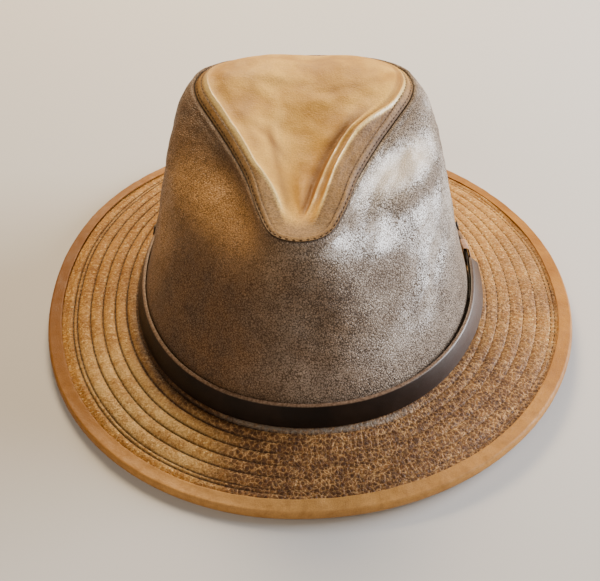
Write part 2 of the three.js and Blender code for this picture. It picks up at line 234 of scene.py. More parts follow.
def grid_piece(name, points, wrap_rows=True, wrap_columns=True, caps=False, lengths=None, **marks):
    """Mesh of a grid of points in millimetres, one quad a cell. lengths are the UV map's two rules,
    in millimetres, and marks are values that the finish reads at each point."""
    rows, columns = points.shape[:2]
    row = np.arange(rows if wrap_rows else rows - 1)[:, None]
    column = np.arange(columns if wrap_columns else columns - 1)[None, :]
    row, column = [part.ravel() for part in np.broadcast_arrays(row, column)]
    next_row = (row + 1) % rows
    next_column = (column + 1) % columns
    corners = [(row, column), (next_row, column), (next_row, next_column), (row, next_column)]
    quads = np.stack([r * columns + c for r, c in corners], -1)
    loops = quads.ravel()
    starts = np.arange(len(quads)) * 4
    if caps:
        first = np.arange(columns)
        loops = np.concatenate((loops, first, (rows - 1) * columns + first[::-1]))
        starts = np.concatenate((starts, [quads.size, quads.size + columns]))
    mesh = new_mesh(name, points, loops, starts)
    if lengths is not None:
        round_length, across_length = lengths
        cells = [(row, column), (row + 1, column), (row + 1, column + 1), (row, column + 1)]
        cells = np.stack([np.stack((round_length[r], across_length[c]), -1) for r, c in cells], 1)
        flat = np.zeros((len(loops), 2))
        flat[: quads.size] = cells.reshape(-1, 2) * millimetre
        mesh.uv_layers.new(name="UVMap").data.foreach_set("uv", flat.ravel())
    for mark, values in marks.items():
        layer = mesh.attributes.new(mark, "FLOAT", "POINT")
        layer.data.foreach_set("value", np.broadcast_to(values, (rows, columns)).ravel())
    return new_piece(name, mesh)


# Rows of stitches, as shares of the way from the foot to the edge. They lie further out at the
# wearer's left than at the right.
single_rows = [0.11, 0.225, 0.35, 0.485, 0.62]
pair_rows = [0.762, 0.805]
row_drift = 0.05
groove_depth = 0.55
puff_height = 0.95
first_puff_start = 0.05
full_puff_share = 0.12
binding_share = 0.88
brim_steps = 720
brim_uv_width = 50
brim_uv_round = 800


def row_share(share, turn):
    """Where a row that lies at a share on average lies at a turn."""
    free = ease(0, 0.1, share) * ease(1, 0.9, share)
    return share + row_drift * np.cos(turn) * free


def puffed(share):
    """Relief between the rows: a groove at each, and a round-topped puff between two, lower where
    they are close."""
    borders = [first_puff_start, *single_rows, *pair_rows, binding_share]
    relief = np.zeros_like(share)
    for low, high in zip(borders, borders[1:]):
        part = np.clip((share - low) / (high - low), 0, 1)
        fullness = min(1, (high - low) / full_puff_share) ** 0.8
        puff = (4 * part * (1 - part)) ** 0.55 * puff_height * fullness
        sunk_low = 0 if low == first_puff_start else groove_depth
        sunk_high = 0 if high == binding_share else groove_depth
        inside = (share >= low) & (share < high)
        relief = np.where(inside, puff - sunk_low * (1 - part) ** 2 - sunk_high * part ** 2, relief)
    return relief


def dark_patch(angle, middle, spread):
    """How far a turn lies inside a patch of wear, painted shade or painted light, from 0 to 1: a bell of
    the turn.
    """
    off = (angle - math.radians(middle) + np.pi) % (2 * np.pi) - np.pi
    return bell(off, math.radians(spread))


def brim_face(turn, share, side):
    """The brim's top, side 1, or underside, side -1: its level plus the puffed relief, which is
    pressed flatter at the front and the wearer's left, and lower on the underside."""
    outward, width = outward_at(turn)
    away = np.where(share < 0, share * under_crown, row_share(share, turn) * width)
    pressed_flat = ease(250, 272, np.degrees(turn)) * ease(345, 318, np.degrees(turn))
    pressed_flat = np.maximum(pressed_flat, 0.7 * dark_patch(turn, 350, 42))
    strength = (1 - 0.55 * pressed_flat) if side > 0 else 0.35
    flat = brim_point(turn, away, side * brim_thickness / 2)
    uneven = 1 + 0.25 * slow_noise(flat, 40, 3)
    relief = puffed(share) * strength * uneven
    slack = 0.3 * slow_noise(flat, 55, 4) * ease(0, 0.2, share) * ease(1, 0.8, share)
    flat[..., 2] += side * relief + slack
    return flat


# The grid has more lines close to the rows than between them.
turn = turns_round(brim_steps)[:, None]
brim_rows = single_rows + pair_rows
typical_width = 57
near_row = np.array([-1.5, -0.9, -0.45, 0, 0.45, 0.9, 1.5]) / typical_width
even = np.linspace(0, binding_share, 52)
clear_of_rows = np.abs(even[:, None] - brim_rows).min(1) > 2.0 / typical_width
top_shares = np.sort(np.concatenate((np.add.outer(brim_rows, near_row).ravel(), even[clear_of_rows])))
top_shares = np.concatenate(([-1, -0.4], top_shares, [0.94, 1.0]))
under_shares = np.concatenate(([-1, -0.4], np.linspace(0, binding_share, 38), [0.94, 1.0]))
under_face = brim_face(turn, under_shares[None, :], -1)
top_face = brim_face(turn, top_shares[None, :], 1)
brim_grid = np.concatenate((under_face, top_face[:, ::-1]), 1)

# Dark grain shows most at the front. A painted shadow of the crown lies further round to the wearer's
# right on the inner bands. The golden finish is cleanest at the wearer's right and the back. The rows'
# grooves are painted dark, and a painted shadow lies beside the strap at the front of the wearer's
# right.
degrees = np.degrees(turn)
front_dark = ease(243, 262, degrees) * ease(338, 304, degrees)
outer_band = ease(0.5, 0.9, top_shares)[None, :] * ease(286, 312, degrees)
on_top = np.clip(top_shares, 0, 1)[None, :]
# A painted shadow of the crown lies on the inner bands at the front of the wearer's right.
inner_dark = 0.9 * bell(on_top - 0.04, 0.2) * dark_patch(turn, 230, 42)
top_grime = 0.95 * front_dark * (1 - 0.4 * outer_band) + 0.42 * dark_patch(turn, 346, 52)
top_grime = np.clip(top_grime + inner_dark + 0.05, 0, 1)
under_grime = 0.35
groove_line = bell(np.abs(top_shares[:, None] - brim_rows).min(1) * typical_width, 0.6)[None, :]
groove_line = groove_line * (0.15 + 0.85 * ease(272, 252, degrees) * ease(40, 110, degrees))
# A painted shadow lies beside the strap at the front of the wearer's right.
beside = bell(on_top - 0.07, 0.17) * dark_patch(turn, 221, 34)
groove_line = np.clip(groove_line + 0.92 * beside, 0, 1)
# The finish is painted pale as sheen at the front of the wearer's right. Grey dust has settled beside
# the strap at the front.
rubbed = dark_patch(turn, 226, 26) * (ease(0.1, 0.4, top_shares) * ease(0.9, 0.75, top_shares))[None, :]
beside_strap = ease(0.035, 0.055, top_shares) * ease(0.13, 0.08, top_shares)
dust = beside_strap[None, :] * ease(243, 258, degrees) * ease(305, 285, degrees)


def both_faces(under, top):
    """A mark over the section: one value below, and the top's values in from the edge."""
    return np.concatenate((np.full((brim_steps, len(under_shares)), under), top[:, ::-1]), 1)


section_length = np.concatenate((under_shares, 2 - top_shares[::-1])) * brim_uv_width
round_length = np.arange(brim_steps + 1) * brim_uv_round / brim_steps
brim_piece = grid_piece(
    "stitched_brim", brim_grid, lengths=(round_length, np.append(section_length, section_length[0])),
    grime=both_faces(under_grime, top_grime), grooves=both_faces(0.0, groove_line),
    dust=both_faces(0.0, dust), rubbed=both_faces(0.0, rubbed),
)


def link(source, target):
    """Joins a node's output to an input in the same tree."""
    source.id_data.links.new(source, target)


def node(tree, kind, inputs=None, **settings):
    """A shader node with its settings and its inputs. Each input gets another node's output, a number
    or a plain colour, whose alpha is one."""
    made = tree.nodes.new(kind)
    for name, value in settings.items():
        setattr(made, name, value)
    for name, value in (inputs or {}).items():
        socket = made.inputs[name]
        if isinstance(value, bpy.types.NodeSocket):
            link(value, socket)
        elif socket.type == "RGBA":
            socket.default_value = (*value, 1)
        else:
            socket.default_value = value
    return made


def blend(mask, first, second):
    """Colour between two others by a mask. A colour mix has its mask at 0, its colours at 6 and 7,
    and its result at 2."""
    inputs = {0: mask, 6: first, 7: second}
    return node(mask.id_data, "ShaderNodeMix", inputs, data_type="RGBA").outputs[2]


def graded(value, low, high, first=0.0, second=1.0):
    """Mask that goes smoothly from first to second as a value goes from low to high."""
    inputs = {"Value": value, "From Min": low, "From Max": high, "To Min": first, "To Max": second}
    made = node(value.id_data, "ShaderNodeMapRange", inputs, interpolation_type="SMOOTHSTEP")
    return made.outputs["Result"]


def figured(operation, first, second):
    """A sum, difference or larger one of two values, the first another node's output."""
    inputs = {0: first, 1: second}
    return node(first.id_data, "ShaderNodeMath", inputs, operation=operation).outputs[0]


def times(first, second):
    """Product of two values."""
    return figured("MULTIPLY", first, second)


def vectors(tree, operation, inputs):
    """A sum, difference or multiple of places."""
    return node(tree, "ShaderNodeVectorMath", inputs, operation=operation).outputs[0]


def new_group(name, inputs, outputs):
    """An empty shader group with named number inputs and outputs, and its two end nodes."""
    group = bpy.data.node_groups.new(name, "ShaderNodeTree")
    for socket, kind, value in inputs:
        made = group.interface.new_socket(socket, in_out="INPUT", socket_type=kind)
        if value is not None:
            made.default_value = value
    for socket, kind in outputs:
        group.interface.new_socket(socket, in_out="OUTPUT", socket_type=kind)
    return group, group.nodes.new("NodeGroupInput").outputs, group.nodes.new("NodeGroupOutput").inputs


def make_grain():
    """Pebbled leather grain of one cell size: dark pores in the cells' middles, creases or pale veins
    along their borders, and the height of the pebbles."""
    number = "NodeSocketFloat"
    group, given, gives = new_group(
        "pebble_grain",
        [("Position", "NodeSocketVector", None), ("Cells", number, 500.0), ("Bend", number, 0.0006)],
        [(name, number) for name in ("Pores", "Creases", "Veins", "Height")],
    )
    position = given["Position"]
    bend_scale = times(given["Cells"], 0.4)
    bends = node(group, "ShaderNodeTexNoise", {"Vector": position, "Scale": bend_scale, "Detail": 2.0})
    centred = vectors(group, "SUBTRACT", {0: bends.outputs["Color"], 1: (0.5, 0.5, 0.5)})
    shift = vectors(group, "SCALE", {0: centred, "Scale": given["Bend"]})
    moved = vectors(group, "ADD", {0: position, 1: shift})
    cell_inputs = {"Vector": moved, "Scale": given["Cells"]}
    cells = node(group, "ShaderNodeTexVoronoi", cell_inputs)
    borders = node(group, "ShaderNodeTexVoronoi", cell_inputs, feature="DISTANCE_TO_EDGE")
    kinds = node(group, "ShaderNodeSeparateColor", {"Color": cells.outputs["Color"]})
    deep = graded(kinds.outputs["Red"], 0.0, 0.6, 0.55, 1.0)
    dots = graded(cells.outputs["Distance"], 0.24, 0.58, 1.0, 0.0)
    join_scale = times(given["Cells"], 1.7)
    joins = node(group, "ShaderNodeTexNoise", {"Vector": position, "Scale": join_scale, "Detail": 0.0})
    joined = graded(joins.outputs["Fac"], 0.5, 0.62)
    pores = figured("MAXIMUM", times(dots, deep), times(joined, 0.7))
    link(pores, gives["Pores"])
    open_part = graded(joins.outputs["Fac"], 0.36, 0.54, 0.45, 1.0)
    creases = graded(borders.outputs["Distance"], 0.06, 0.24, 1.0, 0.0)
    link(times(creases, open_part), gives["Creases"])
    link(graded(borders.outputs["Distance"], 0.0, 0.085, 1.0, 0.0), gives["Veins"])
    link(graded(borders.outputs["Distance"], 0.0, 0.3), gives["Height"])
    return group


grain = make_grain()


def grained(position, cells, bend):
    """The grain in a finish: its cells a metre, and how far noise moves them, in metres."""
    inputs = {"Position": position, "Cells": cells, "Bend": bend}
    return node(position.id_data, "ShaderNodeGroup", inputs, node_tree=grain).outputs


def noise(position, scale, detail, roughness=0.55):
    """Plain noise of one scale, in cells a metre."""
    inputs = {"Vector": position, "Scale": scale, "Detail": detail, "Roughness": roughness}
    return node(position.id_data, "ShaderNodeTexNoise", inputs).outputs["Fac"]


def marks_of(tree, *names):
    """Values of a piece's marks, as grid_piece set them."""
    return [node(tree, "ShaderNodeAttribute", attribute_name=name).outputs["Fac"] for name in names]


def new_finish(name):
    """An empty finish: its tree, its shader and the piece's own coordinates."""
    material = bpy.data.materials.new(name)
    material.use_nodes = True
    tree = material.node_tree
    return material, tree, tree.nodes["Principled BSDF"], tree.nodes.new("ShaderNodeTexCoord").outputs


def bumped(shader, *layers):
    """Relief on a shader: layers are heights with their depth in millimetres."""
    normal = None
    for height, depth in layers:
        inputs = {"Height": height, "Distance": depth * millimetre, "Strength": 1.0}
        made = node(height.id_data, "ShaderNodeBump", inputs)
        if normal is not None:
            link(normal, made.inputs["Normal"])
        normal = made.outputs["Normal"]
    link(normal, shader.inputs["Normal"])


def dress(piece, material, slot, *nodes):
    """Gives a piece its finish, its body, and the solids that it stands for. Its slot is not used."""
    piece.data.materials.append(material)
    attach(piece, "root")
    if nodes:
        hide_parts(*nodes)


# The worn leather is dark with pale veins between its pebbles, and the clean leather golden with
# streaks along the rows.
deep_tan = (0.33, 0.13, 0.016)
bright_tan = (0.54, 0.25, 0.043)
streak_tan = (0.72, 0.39, 0.095)
light_fleck = (0.95, 0.68, 0.28)
dark_fleck = (0.2, 0.08, 0.014)
rubbed_pale = (0.9, 0.62, 0.25)
tan_pore = (0.16, 0.06, 0.012)
deep_brown = (0.15, 0.054, 0.013)
bright_brown = (0.35, 0.15, 0.037)
pale_vein = (0.72, 0.42, 0.17)
brown_fleck = (0.62, 0.33, 0.1)
wide_pore = (0.045, 0.015, 0.004)
small_pore = (0.03, 0.01, 0.003)
fine_pore = (0.06, 0.025, 0.008)
groove_dirt = (0.035, 0.014, 0.004)
grey_dust = (0.2, 0.165, 0.13)

brim_leather, tree, shader, coords = new_finish("rubbed_tan_leather")
position = coords["Object"]
grime, grooves, dust, rubbed = marks_of(tree, "grime", "grooves", "dust", "rubbed")
coarse = grained(position, 430.0, 0.002)
middling = grained(position, 720.0, 0.0012)
fine = grained(position, 1400.0, 0.0004)
cloudy = noise(position, 26.0, 5.0, 0.62)
patchy = noise(position, 110.0, 5.0, 0.65)
flecks = noise(position, 620.0, 3.0, 0.6)
streaky = node(tree, "ShaderNodeMapping", {"Vector": coords["UV"], "Scale": (520.0, 110.0, 1.0)})
wrinkles = noise(streaky.outputs["Vector"], 1.0, 3.0, 0.6)
# Dark grain where the leather is worn, and the crown's painted shadow, show as veined dark leather.
worn = figured("ADD", grime, graded(cloudy, 0.25, 0.75, -0.24, 0.24))
worn = figured("ADD", worn, graded(patchy, 0.25, 0.75, -0.2, 0.2))
worn = graded(worn, 0.15, 0.85)
tan = blend(graded(patchy, 0.3, 0.7), deep_tan, bright_tan)
tan = blend(graded(wrinkles, 0.4, 0.75, 0.0, 0.65), tan, streak_tan)
# Bright golden flecks are painted glints.
tan = blend(graded(flecks, 0.55, 0.68, 0.0, 0.7), tan, light_fleck)
tan = blend(graded(flecks, 0.46, 0.34, 0.0, 0.5), tan, dark_fleck)
# The pale patch is painted sheen.
pale = times(rubbed, graded(patchy, 0.35, 0.65, 0.2, 0.75))
tan = blend(pale, tan, rubbed_pale)
faint = times(middling["Pores"], graded(cloudy, 0.35, 0.7, 0.2, 0.65))
golden = blend(faint, tan, tan_pore)
dark = blend(graded(patchy, 0.35, 0.7), deep_brown, bright_brown)
broken = times(coarse["Veins"], graded(patchy, 0.35, 0.6, 0.35, 0.9))
veined = blend(broken, dark, pale_vein)
veined = blend(graded(flecks, 0.5, 0.68, 0.0, 0.45), veined, brown_fleck)
veined = blend(times(coarse["Pores"], 0.8), veined, wide_pore)
veined = blend(times(middling["Pores"], 0.3), veined, small_pore)
colour = blend(worn, golden, veined)
colour = blend(times(fine["Pores"], 0.25), colour, fine_pore)
# The grooves are painted dark, and a painted shadow lies beside the strap.
dirt = times(grooves, graded(patchy, 0.3, 0.6, 0.7, 1.0))
colour = blend(dirt, colour, groove_dirt)
dusty = times(dust, graded(flecks, 0.35, 0.6, 0.35, 0.9))
colour = blend(dusty, colour, grey_dust)
link(colour, shader.inputs["Base Color"])
link(graded(middling["Pores"], 0.0, 0.8, 0.42, 0.7), shader.inputs["Roughness"])
shader.inputs["Specular IOR Level"].default_value = 0.28
pebbles = (coarse["Height"], 0.12), (middling["Height"], 0.12), (fine["Height"], 0.05)
bumped(shader, *pebbles, (wrinkles, 0.5))
dress(brim_piece, brim_leather, "brim_leather", "brim")


# Binding
# A strip of smooth golden leather folded over the brim's edge, with a round fold and thin cut edges
# on top and below.

binding_wall = 1.0
binding_nose = 1.6
binding_lip = 0.4
binding_steps = 720
binding_uv_width = 22
binding_uv_round = 950


def binding_section():
    """Out along the underside, round the fold, back along the top, round each cut edge and in
    again: how far each point lies past the brim's edge, and how far over the brim's middle."""
    outside = brim_thickness / 2 + piece_gap + binding_wall
    inside = brim_thickness / 2 + piece_gap
    flat = np.linspace(-binding_width + binding_lip, 0, 9)
    fold = np.radians(np.linspace(-90, 90, 17))[1:-1]
    lip = np.radians(np.linspace(90, 270, 7))
    middle = (outside + inside) / 2
    radius = (outside - inside) / 2
    lip_past = -binding_width + binding_lip + binding_lip * np.cos(lip)
    lip_up = middle + radius * np.sin(lip)
    inner = np.linspace(-binding_width + 2 * binding_lip, piece_gap, 6)
    past = np.concatenate((
        flat, binding_nose * np.cos(fold), flat[::-1], lip_past[1:-1],
        inner, inner[::-1], lip_past[1:-1][::-1],
    ))
    up = np.concatenate((
        np.full_like(flat, -outside), outside * np.sin(fold), np.full_like(flat, outside), lip_up[1:-1],
        np.full_like(inner, inside), np.full_like(inner, -inside), -lip_up[1:-1][::-1],
    ))
    return past, up


turn = turns_round(binding_steps)[:, None]
past, up = binding_section()
binding_edge = outward_at(turn)[1]
uneven_width = 0.35 * slow_noise(np.stack((np.cos(turn), np.sin(turn), 0 * turn), -1) * 100, 60, 8)
stretch = 1 + uneven_width / binding_width * (past < 0)
binding_grid = brim_point(turn, binding_edge + past * stretch, up)
# The seam under the strip pulls the outside of its top a little uneven.
pulled = 0.12 * slow_noise(binding_grid, 9, 12) * (up > 0)
binding_grid[..., 2] += np.where(np.abs(up) > brim_thickness / 2 + 0.4, np.minimum(pulled, 0.2), 0)
section_length = np.append(np.linspace(0, binding_uv_width, len(past)), binding_uv_width + 1)
# The binding is rubbed pale at the front and darker at the wearer's right.
binding_pale = dark_patch(turn, 262, 48) * np.ones(len(past))
binding_dark = dark_patch(turn, 178, 45) * np.ones(len(past))
round_length = np.arange(binding_steps + 1) * binding_uv_round / binding_steps
binding_piece = grid_piece(
    "edge_binding", binding_grid, lengths=(round_length, section_length),
    pale=binding_pale, grime=binding_dark,
)

deep_gold = (0.28, 0.1, 0.007)
bright_gold = (0.45, 0.19, 0.024)
worn_gold = (0.62, 0.34, 0.11)
dark_gold = (0.2, 0.065, 0.002)
gold_mottle = (0.22, 0.085, 0.014)
gold_pore = (0.12, 0.05, 0.015)

binding_leather, tree, shader, coords = new_finish("golden_binding_leather")
position = coords["Object"]
cloudy = noise(position, 30.0, 4.0)
small = noise(position, 260.0, 4.0, 0.6)
fine = grained(position, 1300.0, 0.0004)
pale, grime = marks_of(tree, "pale", "grime")
colour = blend(graded(cloudy, 0.3, 0.7), deep_gold, bright_gold)
colour = blend(times(pale, 0.6), colour, worn_gold)
colour = blend(times(grime, 0.9), colour, dark_gold)
colour = blend(graded(small, 0.4, 0.8, 0.0, 0.45), colour, gold_mottle)
colour = blend(times(fine["Pores"], 0.22), colour, gold_pore)
link(colour, shader.inputs["Base Color"])
link(graded(small, 0.3, 0.7, 0.46, 0.62), shader.inputs["Roughness"])
shader.inputs["Specular IOR Level"].default_value = 0.28
bumped(shader, (fine["Height"], 0.05), (small, 0.25))
dress(binding_piece, binding_leather, "binding_leather", "brim_binding")


# Brim stitches
# Dark brown thread, sunk into the grooves of the brim's rows. Each stitch is a short bent piece
# whose two ends dip into the leather.

thread_radius = 0.33
stitch_pitch = 3.3
stitch_share = 0.8


def stitches(name, rows, pitch=stitch_pitch, radius=thread_radius, sunk=0.05):
    """Stitches along closed rows, each row its points and normals. A stitch is six-sided, round,
    thinner at its ends, and bends down into the surface there."""
    stations = np.array([-1, -0.72, 0, 0.72, 1.0])
    corner = np.arange(6) * np.pi / 3
    pieces = []
    for points, normals in rows:
        closed = np.concatenate((points, points[:1]))
        closed_normals = np.concatenate((normals, normals[:1]))
        length = np.append(0, np.cumsum(np.linalg.norm(np.diff(closed, axis=0), axis=1)))
        count = int(length[-1] / pitch)
        middles = (np.arange(count)[:, None] + 0.5) * length[-1] / count
        half = stitch_share * length[-1] / count / 2
        at = middles + stations * half

        def along(values, where):
            where = where % length[-1]
            return np.stack([np.interp(where, length, values[:, axis]) for axis in range(3)], -1)

        centre = along(closed, at)
        normal = along(closed_normals, at)
        ahead = along(closed, at + 0.2) - along(closed, at - 0.2)
        ahead /= np.linalg.norm(ahead, axis=-1, keepdims=True)
        aside = np.cross(ahead, normal)
        aside /= np.linalg.norm(aside, axis=-1, keepdims=True)
        arch = (1 - stations ** 2)[None, :, None]
        centre = centre + normal * (radius * (1.2 * arch - 0.9) - sunk)
        thick = radius * np.array([0.55, 0.95, 1.0, 0.95, 0.55])[None, :, None, None]
        ring = np.cos(corner)[:, None] * aside[:, :, None] + np.sin(corner)[:, None] * normal[:, :, None]
        pieces.append(centre[:, :, None] + thick * ring)
    points = np.concatenate(pieces)
    count, rings, sides = points.shape[:3]
    first = np.arange(count)[:, None, None] * rings * sides
    ring = np.arange(rings - 1)[None, :, None] * sides
    side = np.arange(sides)[None, None, :]
    following = (side + 1) % sides
    this, above = first + ring, first + ring + sides
    around = np.stack([this + side, this + following, above + following, above + side], -1)
    end = (rings - 1) * sides
    first_cap = [[0, 3, 2, 1], [0, 5, 4, 3]]
    last_cap = [[end, end + 1, end + 2, end + 3], [end, end + 3, end + 4, end + 5]]
    caps = first + np.array(first_cap + last_cap)
    quads = np.concatenate((around.reshape(-1, 4), caps.reshape(-1, 4)))[:, ::-1]
    return new_piece(name, new_mesh(name, points, quads.ravel(), np.arange(len(quads)) * 4))


def brim_row(share, side):
    """Points and normals of a stitch row in its groove, pressed deeper at the front."""
    turn = turns_round(900)[:, None]
    near = np.array([share - 0.004, share, share + 0.004])[None, :]
    strip = brim_face(turn, near, side)
    normals = -normals_of(strip)[:, 1] if side > 0 else normals_of(strip)[:, 1]
    degrees = np.degrees(turn)
    deeper = 0.22 * ease(250, 272, degrees) * ease(350, 318, degrees)
    return strip[:, 1] - deeper * normals, normals


thread_shade = (0.012, 0.005, 0.002)
thread_light = (0.05, 0.022, 0.008)

thread_finish, tree, shader, coords = new_finish("dark_brown_thread")
strands = noise(coords["Object"], 2400.0, 2.0)
colour = blend(graded(strands, 0.35, 0.65), thread_shade, thread_light)
link(colour, shader.inputs["Base Color"])
shader.inputs["Roughness"].default_value = 0.85
shader.inputs["Specular IOR Level"].default_value = 0.2
bumped(shader, (strands, 0.06))

for name, face in (("brim_stitches", 1), ("brim_stitches_under", -1)):
    threads = stitches(name, [brim_row(share, face) for share in brim_rows])
    dress(threads, thread_finish, "brim_leather")


# Crown's side
# One wall of rubbed brown leather with a pebbled grain, from the brim up to the seam. Fingers have
# pressed hollows under the seam, and an eyelet hole goes through each side. Each turn is one curve.

def listed(columns, *rows):
    """A table of rows of numbers, with its columns' names."""
    return np.array(list(rows), dtype=[(column, float) for column in columns.split()])


# The seam from the front round the wearer's left to the back: its place at a turn. The other half is
# its mirror image.
seam = listed(
    "turn x y z",
    (270, 0, -82, 97.5), (283, 13, -77, 98.2), (296, 20.5, -60, 100.2), (309, 27, -37, 103),
    (322, 36.5, -14, 106.2), (336, 46.5, 7, 108.8), (352, 56, 28, 111), (370, 58.5, 46, 111.5),
    (390, 53, 64, 110), (418, 33, 79, 107.5), (450, 0, 85, 106),
)
# The side's curve at a turn: how far it goes straight up from the foot, how far it leans out and up
# where it meets the seam, and how deep it is pinched.
side = listed(
    "turn rise out up pinch",
    (270, 36, 7, -16, 0), (295, 40, 8, -9, 1), (315, 46, 9, -2, 3), (335, 54, 9.5, 3, 1.5),
    (355, 56, 9.5, 4.5, 0), (400, 53, 10, 4, 0), (450, 48, 10, 2.5, 0),
)
crown_wall = 2.0
flare = 9.2
flare_rise = 0.36
tip_shift = -1.8
tip_skew = 0.033
tip_middle = 22
seam_dip = 0.9
shoulder_turn = 15
shoulder_spread = 32
shoulder_in = 1.6
shoulder_down = 2.6


def read(table, key, column, where, sign=1):
    """Smooth value of a table's column: a cubic between two rows, its slope at a row that of the
    line between the row's neighbours. Past its ends the table goes on as its mirror image."""
    places, values = table[key], table[column]
    places = np.concatenate(([2 * places[0] - places[1]], places, [2 * places[-1] - places[-2]]))
    values = np.concatenate(([sign * values[1]], values, [sign * values[-2]]))
    slopes = (values[2:] - values[:-2]) / (places[2:] - places[:-2])
    where = np.clip(where, places[1], places[-2])
    row = np.clip(np.searchsorted(places[1:-1], where, side="right") - 1, 0, len(slopes) - 2)
    step = places[row + 2] - places[row + 1]
    t = (where - places[row + 1]) / step
    return (
        (2 * t ** 3 - 3 * t ** 2 + 1) * values[row + 1] + (t ** 3 - 2 * t ** 2 + t) * slopes[row] * step
        + (3 * t ** 2 - 2 * t ** 3) * values[row + 2] + (t ** 3 - t ** 2) * slopes[row + 1] * step
    )


def read_round(table, column, turn, sign=1):
    """The same for a table from the front round to the back, at any turn, both sides alike."""
    from_front = np.degrees(turn - 1.5 * np.pi) % 360
    other_side = from_front > 180
    value = read(table, "turn", column, 270 + np.where(other_side, 360 - from_front, from_front), sign)
    return np.where(other_side, sign * value, value)


def seam_point(turn):
    """Point of the line where the crown's side and tip meet, leaning a little to one side. The
    shoulder at the wearer's left has sunk in and down by a bell."""
    y = read_round(seam, "y", turn)
    x = read_round(seam, "x", turn, -1) + tip_shift + tip_skew * y
    off = (np.degrees(turn) - shoulder_turn + 180) % 360 - 180
    sunk = bell(off, shoulder_spread)
    return np.stack((x - shoulder_in * sunk, y, read_round(seam, "z", turn) - shoulder_down * sunk), -1)


def seam_frame(turn):
    """Two directions at the seam: along the cut edge, in and down, and square across it."""
    edge = seam_point(turn)
    inward = np.stack((-edge[..., 0], tip_middle - edge[..., 1], 0 * edge[..., 0]), -1)
    inward /= np.linalg.norm(inward, axis=-1, keepdims=True)
    inward[..., 2] = -seam_dip
    inward /= np.linalg.norm(inward, axis=-1, keepdims=True)
    level = np.hypot(inward[..., 0], inward[..., 1])[..., None]
    return inward, np.concatenate((-inward[..., :2] * inward[..., 2:] / level, level), -1)


def side_point(turn, rise):
    """Outside of the side: a cubic curve from the foot, straight up, to the seam, spread out at the
    foot by a square that fades, and pressed in near the top."""
    turn, rise = np.broadcast_arrays(turn, rise)
    outward = outward_at(turn)[0]
    low = brim_point(turn, 0 * turn, brim_thickness / 2 + piece_gap)
    start = low - flare * outward
    end = seam_point(turn)
    up = np.array((0, 0, 1.0))
    start_handle = start + read_round(side, "rise", turn)[..., None] * up
    end_handle = end + read_round(side, "out", turn)[..., None] * outward
    end_handle = end_handle + read_round(side, "up", turn)[..., None] * up
    t = rise[..., None]
    point = (1 - t) ** 3 * start + 3 * (1 - t) ** 2 * t * start_handle
    point = point + 3 * (1 - t) * t ** 2 * end_handle + t ** 3 * end
    spread = flare * np.maximum(1 - rise / flare_rise, 0) ** 2
    hollow = read_round(side, "pinch", turn) * np.sin(np.pi * ease(0.5, 1, rise)) ** 2
    return point + (spread - hollow)[..., None] * outward


# Dents and swells of the side: where they lie round the crown, in degrees, and above the table,
# how wide they are both ways, and how far they stand out.
side_swells = listed(
    "turn height round up out",
    (238, 92, 9, 8, -2.4), (222, 99, 9, 7, -2.0), (205, 97, 9, 8, -1.2),
    (304, 96, 8, 6, -0.9), (320, 101, 9, 4, -0.5), (325, 89, 15, 6, 0.9), (318, 79, 18, 6, 1.1),
    (326, 104, 9, 4, 0.6), (340, 84, 8, 7, -0.6), (246, 72, 9, 10, 1.0), (226, 82, 10, 9, 0.8),
    (272, 62, 6, 12, -1.1), (281, 44, 5, 12, 0.8), (262, 46, 7, 10, 0.7), (296, 66, 9, 7, -0.8),
    (309, 54, 9, 7, 0.8), (325, 62, 9, 6, -0.9), (336, 50, 8, 8, 0.7), (316, 42, 8, 6, -0.7),
    (228, 50, 9, 10, -0.9), (210, 60, 9, 10, 0.7), (292, 38, 7, 6, 0.7), (300, 84, 7, 6, 0.6),
    (350, 44, 7, 9, -0.7), (20, 70, 14, 14, -1.0), (60, 60, 14, 14, 0.9),
    (95, 74, 14, 12, -1.1), (130, 55, 13, 14, 0.9), (165, 72, 12, 14, -0.9),
)
# Where the side is polished and shines, and is painted paler as sheen, written the same way.
side_polish = listed(
    "turn height round up out",
    (3, 105, 11, 4, 0.75), (328, 97, 18, 6, 1.0), (285, 91, 9, 5, 0.75), (304, 85, 10, 6, 0.8),
    (326, 78, 10, 7, 0.65), (325, 65, 10, 7, 0.45), (350, 68, 13, 26, 0.45), (313, 50, 14, 10, 0.4),
    (290, 42, 14, 10, 0.35), (224, 90, 24, 9, 0.35), (200, 72, 12, 14, 0.25), (80, 80, 50, 14, 0.4),
    (303, 100, 9, 4, 0.3), (325, 72, 32, 30, 0.3), (440, 60, 20, 30, 0.3), (275, 36, 24, 12, 0.35),
    (336, 86, 9, 3, -0.4), (318, 88, 8, 3, -0.3), (303, 65, 9, 6, -0.3), (286, 72, 9, 8, -0.2),
)


def swelled(table, turn, height):
    """Sum of a table's rows, each a bell in both directions."""
    total = 0
    for row in table:
        off = (np.degrees(turn) - row["turn"] + 180) % 360 - 180
        total = total + row["out"] * bell(off, row["round"]) * bell(height - row["height"], row["up"])
    return total


